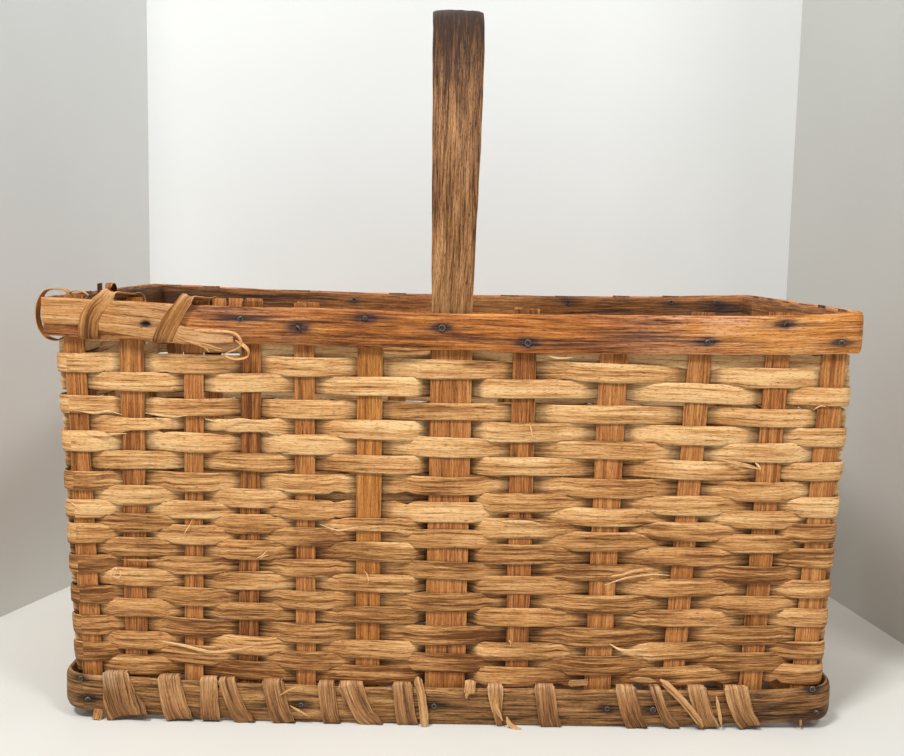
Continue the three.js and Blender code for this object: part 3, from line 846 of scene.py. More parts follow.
@dataclass
class PhotoCamera:
    """The camera that the photograph was taken with, as it was fitted to the basket's sizes."""

    width_pixels: int = 904
    focal_pixels: float = 1086.0
    sensor: float = 36.0
    pitch: float = math.radians(6.68)
    yaw: float = math.radians(0.67)
    roll: float = math.radians(1.15)
    place: tuple[float, float, float] = (-0.0116, -0.8802, 0.3358)

    def build(self) -> None:
        """Sets the camera up and makes it the scene's own."""
        ahead = Vector((math.sin(self.yaw), math.cos(self.yaw), -math.tan(self.pitch))).normalized()
        level = Vector((math.cos(self.yaw), -math.sin(self.yaw), 0.0))
        upright = level.cross(ahead)
        right = level * math.cos(self.roll) + upright * math.sin(self.roll)
        head = upright * math.cos(self.roll) - level * math.sin(self.roll)
        data = bpy.data.cameras.new("photo_camera")
        data.sensor_width = self.sensor
        data.lens = self.sensor * self.focal_pixels / self.width_pixels
        camera = bpy.data.objects.new("photo_camera", data)
        turn = Matrix((right, head, -ahead)).transposed()
        camera.matrix_world = Matrix.Translation(self.place) @ turn.to_4x4()
        bpy.context.scene.collection.objects.link(camera)
        bpy.context.scene.camera = camera


@dataclass
class Studio:
    """A pale floor, a white board behind and a grey one at each side, the right one darker with painted
    shade, and soft lamps.
    """

    floor_half: float = 6.0
    board_height: float = 1.1
    board_corners: tuple[tuple[float, float], ...] = (
        (-0.46, -0.1), (-0.326, 0.3), (0.364, 0.3), (0.42, -0.1),
    )
    white: Tint = (230, 231, 228)
    left_grey: Tint = (228, 229, 226)
    # The right board's darker grey is painted shade, as the light falls from the left.
    right_shaded_grey: Tint = (204, 203, 197)
    floor: Tint = (219, 217, 209)
    surround: Tint = (236, 240, 246)
    surround_strength: float = 0.34
    paint_roughness: float = 0.8
    lamp_tint: Tint = (253, 254, 255)
    lamp_aim: float = 0.25
    lamps: tuple[tuple[str, tuple[float, float, float], float, float], ...] = (
        ("left_lamp", (-0.7, -1.2, 2.1), 0.4, 39.0),
        ("right_lamp", (0.9, -1.2, 1.9), 0.4, 15.0),
        ("top_lamp", (0.0, -0.45, 2.3), 1.0, 10.0),
    )

    def paint(self, name: str, tint: Tint, one_sided: bool) -> bpy.types.Material:
        """Mixes a matt paint for a board or the floor.

        Args:
            name: The paint's name.
            tint: Its colour.
            one_sided: True where the back is seen through, so that a board hides nothing from behind.

        Returns:
            The paint.
        """
        bench = Bench(name)
        solid = bench.add("ShaderNodeTexCoord").outputs["Object"]
        mottle = bench.span(bench.speckle(solid, (5.0,) * 3, 2.0), 0.3, 0.7)
        shade = tuple(channel - 4 for channel in tint)
        bench.put(bench.shader.inputs["Base Color"], bench.blend(mottle, linear(tint), linear(shade)))
        bench.shader.inputs["Roughness"].default_value = self.paint_roughness
        if one_sided:
            behind = bench.add("ShaderNodeNewGeometry").outputs["Backfacing"]
            bench.put(bench.shader.inputs["Alpha"], bench.math("SUBTRACT", 1.0, behind))
        return bench.material

    def board(self, name: str, corners: Sequence[Vector], tint: Tint, one_sided: bool) -> None:
        """Adds one flat board to the stage.

        Args:
            name: The board's name.
            corners: Its corners, in order.
            tint: Its colour.
            one_sided: True where its back is seen through.
        """
        bm = bmesh.new()
        bm.faces.new([bm.verts.new(corner) for corner in corners])
        mesh = bpy.data.meshes.new(name)
        bm.to_mesh(mesh)
        bm.free()
        mesh.materials.append(self.paint(f"{name}_paint", tint, one_sided))
        stage = bpy.data.objects.new(name, mesh)
        bpy.context.scene.collection.objects.link(stage)

    def lamp(self, name: str, place: Sequence[float], size: float, power: float) -> None:
        """Hangs a square soft lamp that looks at the basket.

        Args:
            name: The lamp's name.
            place: Where it hangs.
            size: How wide it is.
            power: How strong it is, in watts.
        """
        data = bpy.data.lights.new(name, "AREA")
        data.size = size
        data.energy = power
        data.color = linear(self.lamp_tint)[:3]
        lamp = bpy.data.objects.new(name, data)
        lamp.location = place
        look = Vector((0.0, 0.0, self.lamp_aim)) - Vector(place)
        lamp.rotation_euler = look.to_track_quat("-Z", "Y").to_euler()
        bpy.context.scene.collection.objects.link(lamp)

    def build(self) -> None:
        """Builds the floor, the boards, the lamps and the pale surround."""
        half, top = self.floor_half, self.board_height
        floor = [Vector((x * half, y * half, 0.0)) for x, y in ((-1, -1), (1, -1), (1, 1), (-1, 1))]
        self.board("floor", floor, self.floor, False)
        names = (("left_board", self.left_grey), ("back_board", self.white), ("right_board", self.right_shaded_grey))
        for (name, tint), (start, end) in zip(names, zip(self.board_corners, self.board_corners[1:])):
            low = [Vector((*start, 0.0)), Vector((*end, 0.0))]
            self.board(name, [*low, low[1] + UP * top, low[0] + UP * top], tint, True)
        for lamp in self.lamps:
            self.lamp(*lamp)
        world = bpy.data.worlds.new("surround")
        world.use_nodes = True
        background = world.node_tree.nodes["Background"]
        background.inputs["Color"].default_value = linear(self.surround)
        background.inputs["Strength"].default_value = self.surround_strength
        bpy.context.scene.world = world
        bpy.context.scene.view_settings.view_transform = "Standard"


@dataclass
class Stakes:
    """The upright splints, each bent to a U through the base."""

    form: Frame
    thickness: float = 1.5 * MM
    bend: float = 5 * MM
    spacing: float = 4 * MM
    base_swing: float = 1.7 * MM
    thin_end: float = 6 * MM
    dirty_end: float = 60 * MM
    drop: float = 3.6 * MM
    front_drops: tuple[float, ...] = (2.0, 1.4, 1.2, 0.8, 0.8, 5.5, 9.0, 1.6, 5.0, 2.6, 3.2, 4.5)
    cut: Cut = Cut(lanes=8, ripple=0.1 * MM, ridge=1.5 * MM, ragged=0.35 * MM, rag_length=22 * MM)
    cross_tones: tuple[float, ...] = (0.1, -0.2, 0.1, -0.4, 0.1, 0.1, 0.1, -0.2, 0.2, 0.2, 0.0, 0.1)
    amber: int = 5
    side_tones: tuple[float, ...] = (0.2, -0.3, 0.4, 0.0, 0.35, -0.2)

    def section(self, half: float, tone: float, length: float, name: str) -> Callable[[float, float], dict]:
        """Makes the function that gives a stake's sizes along it.

        Args:
            half: Half the stake's width.
            tone: How much lighter than its finish it is.
            length: How long it is.
            name: Its name, which picks its own small changes.

        Returns:
            The sizes as a function of the run along the stake.
        """
        seed = random.Random(name).uniform(0.0, 50.0)

        def sizes(run: float, share: float) -> dict:
            """Returns the sizes at a run: thinner and dirtier towards both ends."""
            end = min(run, length - run)
            drift = noise.noise(Vector((run * 9.0, seed, 0.0)))
            return {
                "half_width": half * (1.0 + 0.05 * drift),
                "half_thick": self.thickness / 2 * mix(0.6, 1.0, ease(end / self.thin_end)),
                "tone": tone + 0.3 * drift,
                "soil": 0.25 * ease(1.0 - end / self.dirty_end),
            }

        return sizes

    def build(self) -> None:
        """Builds the front-to-back stakes, then the side ones."""
        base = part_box("cross_stake_01")[0].z + self.thickness / 2
        backs = list(reversed(self.form.legs[Wall.BACK]))
        for index, (front, back) in enumerate(zip(self.form.legs[Wall.FRONT], backs)):
            self.cross_stake(index, front, back, base)
        lefts = list(reversed(self.form.legs[Wall.LEFT]))
        for index, (right, left) in enumerate(zip(self.form.legs[Wall.RIGHT], lefts)):
            self.long_stake(index, right, left, base)

    def cut_off(self, index: int) -> float:
        """Returns how much lower than the frame's a stake's end was cut, which differs a little each time."""
        return self.drop + random.Random(f"end {index}").uniform(-0.9, 1.1) * MM

    def bent(
        self, name: str, corners: Sequence[Vector], side: Vector, half: float, tone: float,
    ) -> list[Station]:
        """Bends a stake to its U.

        Args:
            name: The stake's name.
            corners: Its two ends and the corners between them.
            side: The way across it.
            half: Half its width.
            tone: How much lighter than its finish it is.

        Returns:
            Its stations.
        """
        route = Route(corners, self.bend)
        return laid_along(route, side, self.spacing, self.section(half, tone, route.length, name))

    def cross_stake(self, index: int, front: Leg, back: Leg, base: float) -> None:
        """Builds one front-to-back stake.

        Args:
            index: Its number from the left, from 0.
            front: Its leg in the front wall.
            back: Its leg in the back wall.
            base: The height of its middle under the basket.
        """
        low = base + self.bend
        front_top, back_top = front.heights[1], back.heights[1]
        front_end, back_end = front_top - self.front_drops[index] * MM, back_top - self.cut_off(index)
        corners = [
            Vector((front.place(front_top), -front.reach(front_top), front_end)),
            Vector((front.place(low), -front.reach(low), low)),
            Vector((front.place(base), -front.reach(low), base)),
            Vector((-back.place(base), back.reach(low), base)),
            Vector((-back.place(low), back.reach(low), low)),
            Vector((-back.place(back_top), back.reach(back_top), back_end)),
        ]
        name = f"upright_splint_{index + 1:02d}"
        stations = self.bent(name, corners, Wall.FRONT.along, front.half, self.cross_tones[index])
        finish = Finish.AMBER if index == self.amber else Finish.STAKE
        strip = Strip(name, finish, stations, self.cut, inside_shade=INSIDE_SHADE)
        strip.build(f"cross_stake_{index + 1:02d}")

    def long_stake(self, index: int, right: Leg, left: Leg, base: float) -> None:
        """Builds one stake that runs from end to end and weaves through the base.

        Args:
            index: Its number from the front, from 0.
            right: Its leg in the right wall.
            left: Its leg in the left wall.
            base: The height of its middle under the basket.
        """
        low = base + self.bend
        y = right.places[0]
        left_top, right_top = left.heights[1], right.heights[1]
        corners = [
            Vector((-left.reach(left_top), y, left_top - self.cut_off(index + 20))),
            Vector((-left.reach(low), y, low)),
            Vector((-left.reach(low), y, base)),
            Vector((right.reach(low), y, base)),
            Vector((right.reach(low), y, low)),
            Vector((right.reach(right_top), y, right_top - self.cut_off(index + 40))),
        ]
        name = f"end_splint_{index + 1}"
        stations = self.bent(name, corners, Wall.LEFT.along, right.half, self.side_tones[index])
        crossings = [leg.place(base) for leg in self.form.legs[Wall.FRONT]]
        for station in stations:
            if station.middle.z < base + self.base_swing:
                station.middle.z += self.swing_at(station.middle.x, crossings, index)
        strip = Strip(name, Finish.STAKE, stations, self.cut, inside_shade=INSIDE_SHADE)
        strip.build(f"long_stake_{index + 1}")

    def swing_at(self, x: float, crossings: Sequence[float], index: int) -> float:
        """Finds how far a base splint stands over or under the ones that it crosses.

        Args:
            x: The place along it.
            crossings: The places of the ones that it crosses.
            index: Its number, because neighbours swing opposite ways.

        Returns:
            How far up it stands there.
        """
        after = bisect_right(crossings, x)
        if after in (0, len(crossings)):
            order = min(after, len(crossings) - 1)
            return self.base_swing * (1 if (order + index) % 2 == 0 else -1)
        share = ease((x - crossings[after - 1]) / (crossings[after] - crossings[after - 1]) * 1.6 - 0.3)
        sign = 1 if (after - 1 + index) % 2 == 0 else -1
        return self.base_swing * mix(sign, -sign, share)


@dataclass(frozen=True)
class Flaw:
    """A stretch of a front row that was split thin, or that slipped up or down."""

    row: int
    start: float
    end: float
    width_share: float
    lift: float


@dataclass
class Weave:
    """The weavers, row by row from the top down."""

    form: Frame
    thickness: float = 1.2 * MM
    width: float = 13.2 * MM
    spacing: float = 4.2 * MM
    corner: float = 8 * MM
    swing: float = 1.8 * MM
    leg_step: float = 3.3 * MM
    deep_bend: float = 22 * MM
    spread: float = 1.3 * MM
    spread_top: float = 160 * MM
    sag: float = 3.2 * MM
    rise: float = 2.8 * MM
    sag_top: float = 150 * MM
    droop: float = 2.2 * MM
    droop_low: float = 210 * MM
    flat_share: float = 0.6
    wide_leg: float = 12 * MM
    flaw_end: float = 12 * MM
    room_share: float = 0.98
    waver: float = 0.9 * MM
    cupping: float = 0.25 * MM
    tones: tuple[float, float] = (-0.4, 0.5)
    tone_spread: float = 0.25
    lowest_width: float = 1.09
    width_spread: tuple[float, float] = (0.93, 1.05)
    cut: Cut = Cut(lanes=6, ripple=0.1 * MM, ridge=1.7 * MM, ragged=0.26 * MM)
    row_shares: tuple[float, ...] = (
        0.985, 0.9455, 0.8945, 0.8215, 0.763, 0.715, 0.661, 0.598, 0.552, 0.512, 0.473,
        0.437, 0.395, 0.341, 0.3, 0.246, 0.205, 0.147, 0.1, 0.061, 0.0215,
    )
    skipped: tuple[tuple[int, int], ...] = ((8, 6),)
    flaws: tuple[Flaw, ...] = (
        Flaw(0, -0.32, -0.143, 0.55, 9.0 * MM),
        Flaw(7, -0.18, 0.06, 0.96, 0.1 * MM),
        Flaw(8, -0.12, 0.026, 0.42, 1.9 * MM),
        Flaw(9, -0.14, 0.045, 1.1, 1.5 * MM),
        Flaw(4, -0.235, -0.12, 0.62, 1.2 * MM),
        Flaw(10, -0.1, -0.03, 0.7, 0.8 * MM),
    )
    # Each fray's width, tone and points: their x, their height and how far they stand out of the weave.
    frays: tuple[tuple[float, float, tuple[tuple[float, float, float], ...]], ...] = (
        (1.3, 1.6, (
            (-240, 103, 0.4), (-238.5, 107, 1.5), (-236.4, 111, 2.2), (-234.3, 110, 2.6), (-236, 106.5, 3.2),
        )),
        (0.9, 1.6, ((-239, 105, 0.5), (-234, 104, 2), (-231.5, 106.5, 2.6), (-232.5, 109.5, 2))),
        (0.8, 1.6, ((-266.5, 158, 0.6), (-263.8, 156.4, 1.4), (-262, 155, 1.6), (-258.6, 153.2, 0.9))),
        (0.9, 1.6, ((51.2, 219, 0.3), (52.4, 214, 1), (53.4, 210, 1.4), (56, 209, 0.8))),
        (2.6, 0.3, ((186, 195.4, 0), (197, 193, 0.8), (205.5, 191.2, 1.4), (212, 189.4, 1))),
        (1.5, 1.6, ((208.6, 194, 1.2), (210.6, 192, 2.2), (212.6, 189.4, 1.6))),
        (1.3, 1.4, (
            (153, 111.7, 0.2), (141.8, 112.5, 1), (130, 111.3, 2), (120, 109.4, 2.8), (106.4, 104.8, 3.8),
        )),
        (2.4, 0.6, ((112, 110.6, 0.6), (119, 112, 1.2), (127, 114.6, 1.6), (141, 116.4, 0.4))),
        (1.8, 1.4, ((34, 148.8, 0.4), (42.8, 149.2, 1.2), (52.5, 149, 1.2), (60.5, 147.6, 0.3))),
        (1.5, 0.2, ((-231.5, 116.6, 0.5), (-214, 116.4, 1.2), (-202, 117.4, 1.4), (-196, 119, 0.8))),
        (0.6, 1.6, ((-182, 146, 0.3), (-184, 141.7, 1.2), (-186.6, 137.6, 1.3), (-188.2, 133.2, 0.6))),
        (0.8, 1.6, ((-137, 119.4, 0.4), (-133, 121.6, 1.6), (-130, 125.2, 2.2))),
        (0.7, 1.6, ((-134.6, 119, 0.5), (-131.6, 121.4, 1.6), (-128.8, 121.8, 1.2))),
        (0.8, 1.6, ((41, 62.5, 0.4), (42.6, 60.2, 1.2), (42, 57.6, 0.6))),
        (2.2, 1.3, (
            (-206, 57.5, 0.2), (-190, 55, 1.4), (-172, 51, 1.8), (-156, 51.6, 1.6), (-140, 55, 0.3),
        )),
        (2, 1.2, ((113, 60.5, 0.2), (120, 57, 1.4), (128, 56.2, 1.4), (140, 57.6, 0.2))),
        (1.6, 1.5, ((-258, 221.4, 0.3), (-247, 220.6, 1.2), (-238, 221.8, 1), (-229, 219.6, 0.2))),
        (1.4, 1.5, ((-213, 221.2, 0.3), (-203, 219.8, 1.1), (-192, 219, 1.2), (-184, 220, 0.2))),
        (1.8, 1.3, ((-172, 217.6, 0.2), (-160, 216, 1.4), (-148, 217.8, 1.2), (-134, 216.4, 0.2))),
        (1.2, 1.3, ((-254, 206.4, 0.3), (-240, 206, 1.1), (-226, 206.4, 0.2))),
        (1, 1.4, ((-93, 144.4, 0.3), (-80, 140.6, 1), (-66, 143.2, 1.2), (-56, 142, 0.2))),
        (0.7, 1.5, ((-62, 112, 0.3), (-59.6, 108.4, 1), (-58.6, 104, 1.2), (-59.8, 101.6, 0.5))),
        (0.8, 1.6, ((247, 232, 0.4), (251, 234.6, 1.4), (255, 234.2, 1.2))),
        (4.6, -0.6, ((-50.6, 268.2, 1.6), (-40, 267.4, 2.2), (-28, 267.2, 2.2), (-18.2, 267.6, 1.8))),
        (1.2, 1.3, ((62, 266, 0.6), (70, 264.4, 1.6), (80, 265.2, 1.2))),
    )

    def build(self) -> None:
        """Builds every row and the frayed fibres on the front."""
        bottom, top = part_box("weaver_21")[0].z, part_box("weaver_01")[1].z
        self.heights = [mix(bottom, top, share) for share in self.row_shares]
        self.bottom, self.top = bottom, top
        for row in range(len(self.heights)):
            self.row(row)
        for number, (width, tone, points) in enumerate(self.frays, 1):
            places = tuple((x, self.front_at(z) - proud, z) for x, z, proud in points)
            taper = 0.05 if width > 4 else 0.35
            sides = {"side": (0.0, 0.0, 1.0), "last_side": (0.1, -0.3, 1.0)}
            fray = Sliver(places, width, Finish.WEAVER, thickness=0.45, taper=taper, tone=tone, **sides)
            fray.build(f"frayed_fibre_{number:02d}")

    def front_at(self, height: float) -> float:
        """Returns the y of the front weavers' outer face at a height, all in millimetres."""
        return -(self.form.half(height * MM)[1] + self.swing + self.thickness / 2) / MM

    def posts(self, row: int, loop: Loop) -> list[tuple[float, float, float]]:
        """Lists the stakes that a row goes in and out past.

        Args:
            row: The row's number from the top, from 0.
            loop: The row's line in plan.

        Returns:
            The stakes in order: each one's run, half width and the row's offset there.
        """
        height = self.heights[row]
        count = row
        posts = []
        for wall in Wall:
            for order, leg in enumerate(self.form.legs[wall]):
                count += 1
                side = 1 if count % 2 == 0 else -1
                if wall is Wall.FRONT and row == 0:
                    side = -1
                if wall is Wall.FRONT and (row, order + 1) in self.skipped:
                    side = -side
                wide = leg.half > self.wide_leg
                offset = side * self.swing - (self.leg_step if wide and side < 0 else 0.0)
                posts.append((loop.run_of(wall, leg.place(height)), leg.half, offset))
        return posts

    def offset_at(self, run: float, posts: Sequence[tuple[float, float, float]], length: float) -> float:
        """Finds a weaver's offset: flat past each stake, with soft bends between them.

        Args:
            run: How far round the place is.
            posts: What the row passes.
            length: The whole way round.

        Returns:
            How far the weaver stands out of the middle surface.
        """
        after = bisect_right([post[0] for post in posts], run)
        before = posts[after - 1]
        following = posts[after % len(posts)]
        start = before[0] - (length if after == 0 else 0.0) + self.flat_share * before[1]
        end = following[0] + (length if after == len(posts) else 0.0) - self.flat_share * following[1]
        deep = -1.5 * self.swing
        if following[2] < deep:
            start = max(start, end - self.deep_bend)
        if before[2] < deep:
            end = min(end, start + self.deep_bend)
        return mix(before[2], following[2], ease((run - start) / (end - start)))

    def flaw_at(self, row: int, place: Vector, out: Vector) -> tuple[float, float]:
        """Finds a row's flaw at a place.

        Args:
            row: The row's number.
            place: A place on its middle.
            out: The way out of the wall there.

        Returns:
            The share of its width that is left, and how far it slipped up.
        """
        if out.y > -0.9:
            return 1.0, 0.0
        for flaw in self.flaws:
            if flaw.row == row:
                inside = ease((place.x - flaw.start) / self.flaw_end)
                inside *= ease((flaw.end - place.x) / self.flaw_end)
                return mix(1.0, flaw.width_share, inside), flaw.lift * inside
        return 1.0, 0.0

    def sag_at(self, place: Vector, height: float) -> float:
        """Finds how a row bends up or down: low rows bow, and high ones droop at the right.

        Args:
            place: A place on its middle.
            height: The row's height.

        Returns:
            How far above its height the row is there.
        """
        share = abs(place.x) / self.form.half(height)[0]
        low = ease((self.sag_top - height) / self.sag_top)
        high = ease((height - self.droop_low) / (50 * MM)) * ease((place.x - 80 * MM) / (120 * MM))
        return low * mix(-self.sag, self.rise, ease((share - 0.35) / 0.5)) - self.droop * high

    def room(self, row: int) -> tuple[float, float]:
        """Finds how far a row may reach before it meets the next ones.

        Args:
            row: The row's number.

        Returns:
            How far down and how far up it may reach from its middle.
        """
        height = self.heights[row]
        above = self.heights[row - 1] if row else 2 * self.top - height
        last = row == len(self.heights) - 1
        below = 2 * self.bottom - height if last else self.heights[row + 1]
        return (height - below) / 2, (above - height) / 2

    def row(self, row: int) -> None:
        """Builds one row, all the way round.

        Args:
            row: The row's number from the top, from 0.
        """
        height = self.heights[row]
        loop = Loop(*self.form.half(height), self.corner)
        posts = self.posts(row, loop)
        draw = random.Random(f"row {row}")
        seed = draw.uniform(0.0, 40.0)
        share = (height - self.bottom) / (self.top - self.bottom)
        tone = draw.uniform(-self.tone_spread, self.tone_spread) + mix(*self.tones, share)
        width = self.width * draw.uniform(*self.width_spread) * mix(self.lowest_width, 1.0, share)
        below, above = (room * self.room_share for room in self.room(row))
        spread = self.spread * ease((self.spread_top - height) / (40 * MM))
        stations = []
        for run, place, out in loop.steps(self.spacing):
            offset = self.offset_at(run, posts, loop.length)
            left, lift = self.flaw_at(row, place, out)
            proud = ease((abs(offset) / self.swing - 0.12) / 0.32)
            behind = ease((-offset / self.swing - 0.55) / 0.4)
            drift = noise.noise(Vector((place.x * 16.0, place.y * 16.0, seed)))
            sway = noise.noise(Vector((place.x * 24.0, place.y * 24.0, seed + 9.0)))
            full = width / 2 * (1.0 + 0.1 * drift)
            free = 1.0 if row == 1 and out.y < -0.9 else proud
            low = mix(min(below, full + spread), full, proud) * left
            high = mix(min(above, full + spread), full, free) * left
            rise = (high - low) / 2 + lift + self.waver * sway + self.sag_at(place, height)
            middle = place + out * offset + UP * (height + rise)
            lean = UP + out * (0.03 + 0.1 * sway * proud)
            # Painted shade where the weaver runs behind a stake, weaker on the top row.
            soil = (0.8 if row else 0.3) * behind
            stations.append(Station(
                middle, out, lean.normalized(), (low + high) / 2, self.thickness / 2,
                cup=self.cupping * (1.0 + drift), tone=tone + 0.6 * drift, soil=soil,
            ))
        strip = Strip(f"woven_splint_{row + 1:02d}", Finish.WEAVER, stations, self.cut, closed=True)
        # Painted shade on the inner faces, and a painted shadow under the lower edge.
        strip.inside_shade, strip.lower_edge_shadow = INSIDE_SHADE, 0.9
        strip.build(f"weaver_{row + 1:02d}")


@dataclass(frozen=True)
class Spot:
    """A dark mark on the front or the back: its place, how far it spreads each way, and its strength."""

    x: float
    z: float
    long: float
    high: float
    depth: float

    def strength(self, place: Vector) -> float:
        """Returns how strong the mark is at a place."""
        away = ((place.x / MM - self.x) / self.long) ** 2 + ((place.z / MM - self.z) / self.high) ** 2
        return self.depth * math.exp(-away)


def marks_of(spots: Sequence[Spot], wall: Wall) -> Marks:
    """Puts the stains of one wall together.

    Args:
        spots: The spots.
        wall: The wall that they are on. Other walls get none.

    Returns:
        How strong the spots are together, as a function of the place.
    """

    def strength(place: Vector) -> float:
        """Returns how stained a place is, from 0 to 1."""
        if place.dot(wall.out) < 0.1:
            return 0.0
        return min(sum(spot.strength(place) for spot in spots), 1.0)

    return strength


def spots(*rows: tuple[float, ...]) -> tuple[Spot, ...]:
    """Returns a spot for each row of numbers."""
    return tuple(Spot(*row) for row in rows)


def smooth_line(corners: Sequence[Vector], step: float) -> list[Vector]:
    """Draws a soft curve through some points.

    Args:
        corners: The points that it goes through.
        step: How far apart its points are.

    Returns:
        The points along the curve.
    """
    ends = [corners[0] * 2 - corners[1], *corners, corners[-1] * 2 - corners[-2]]
    line = [corners[0]]
    for first, start, end, last in zip(ends, ends[1:], ends[2:], ends[3:]):
        count = max(math.ceil((end - start).length / step), 1)
        for index in range(1, count + 1):
            share = index / count
            square = first * 2 - start * 5 + end * 4 - last
            cube = start * 3 - first - end * 3 + last
            line.append((start * 2 + (end - first) * share + square * share**2 + cube * share**3) * 0.5)
    return line


@dataclass(frozen=True)
class Sliver:
    """A loose splinter, a frayed end or a short end of splint. Its points and sizes are in millimetres."""

    points: tuple[tuple[float, float, float], ...]
    width: float
    finish: Finish = Finish.WEAVER
    side: tuple[float, float, float] = (0.0, 0.0, 1.0)
    thickness: float = 0.5
    taper: float = 0.3
    tone: float = 0.8
    last_side: tuple[float, float, float] | None = None
    spacing: float = 1.1
    bend: float = 0.2

    def build(self, name: str) -> None:
        """Builds the splinter.

        Args:
            name: Its name.
        """
        line = smooth_line([Vector(point) * MM for point in self.points], self.spacing * MM)
        route = Route(line, self.bend * MM)

        def sizes(run: float, share: float) -> dict:
            """Returns the sizes at a share of the way: narrower and thinner at both ends."""
            end = ease(min(share, 1.0 - share) / self.taper) if self.taper else 1.0
            half = self.width / 2 * MM
            return {
                "half_width": half * mix(0.3, 1.0, end),
                "half_thick": self.thickness / 2 * MM * mix(0.5, 1.0, end),
                "tone": self.tone,
                "wear": max(self.tone - 0.7, 0.0),
            }

        last = Vector(self.last_side) if self.last_side else None
        stations = laid_along(route, Vector(self.side), self.spacing * MM, sizes, last)
        cut = Cut(lanes=4, ripple=0.05 * MM, ragged=0.05 * self.width * MM, rag_length=4 * MM)
        Strip(name, self.finish, stations, cut).build()


def slivers(finish: Finish, *rows: tuple) -> tuple[Sliver, ...]:
    """Returns a sliver of one finish for each row: its points, its width and then its other values."""
    return tuple(Sliver(points, width, finish, *more) for points, width, *more in rows)


@dataclass(frozen=True)
class Nail:
    """A hand-made nail: its place on its wall, the size of its head, and how far the head is bent over."""

    x: float
    z: float
    reach: float
    wall: Wall = Wall.FRONT
    radius: float = 2.4
    height: float = 1.0
    lean: float = 0.0
    spin: float = 0.0
    dent: float = 0.22

    def halo(self) -> Spot:
        """Returns the dark stain that the iron has left round the nail."""
        return Spot(self.x, self.z, 6.2, 3.0, 1.2)

    def build(self, name: str, *stands_for: str) -> None:
        """Builds the nail's head, with a dished top, and a little of its shank.

        Args:
            name: Its name.
            stands_for: The frame's nodes that it takes the place of.
        """
        bm = bmesh.new()
        radius, height = self.radius * MM, self.height * MM
        bmesh.ops.create_cone(
            bm, cap_ends=True, segments=16, radius1=radius, radius2=radius * 0.86, depth=height,
        )
        top = [face for face in bm.faces if face.normal.z > 0.9]
        bmesh.ops.inset_region(bm, faces=top, thickness=radius * 0.26, depth=-height * 0.12)
        bmesh.ops.inset_region(bm, faces=top, thickness=radius * 0.2, depth=-height * 0.2)
        rims = [edge for edge in bm.edges if edge.is_manifold and edge.calc_face_angle(0.0) > 0.5]
        bmesh.ops.bevel(
            bm, geom=rims, offset=height * 0.14, segments=2, profile=0.5, affect="EDGES", material=-1,
        )
        if self.lean:
            shank = Matrix.Translation((0.0, 0.0, -height * 0.9))
            bmesh.ops.create_cone(
                bm, cap_ends=True, segments=8, radius1=radius * 0.3, radius2=radius * 0.36,
                depth=height * 1.6, matrix=shank,
            )
        seed = random.Random(name).uniform(0.0, 90.0)
        edge = bm.verts.layers.float.new("edge")
        for vert in bm.verts:
            away = vert.co.xy.length / radius
            # A ring near the rim of the head's top is marked for a painted highlight.
            vert[edge] = 0.8 if vert.co.z > height * 0.3 and 0.62 < away < 0.93 else 0.0
            vert.co += noise.noise_vector(vert.co * 420.0 + Vector((seed, 0.0, 0.0))) * self.dent * MM
        place = self.wall.along * self.x * MM + self.wall.out * self.reach * MM + UP * self.z * MM
        face = Matrix((self.wall.along, UP, self.wall.out)).transposed().to_4x4()
        lean = Matrix.Rotation(self.lean, 4, Vector((math.cos(self.spin), math.sin(self.spin), 0.0)))
        bmesh.ops.transform(bm, matrix=Matrix.Translation(place) @ face @ lean, verts=bm.verts)
        fit_piece(name, bm, Finish.IRON, stands_for)


@dataclass(frozen=True)
class Turn:
    """One turn of a lashing: where it crosses its board's top and foot, and its width there."""

    top: float
    foot: float
    width: float
    foot_share: float = 1.0
    sweep: float = 0.6


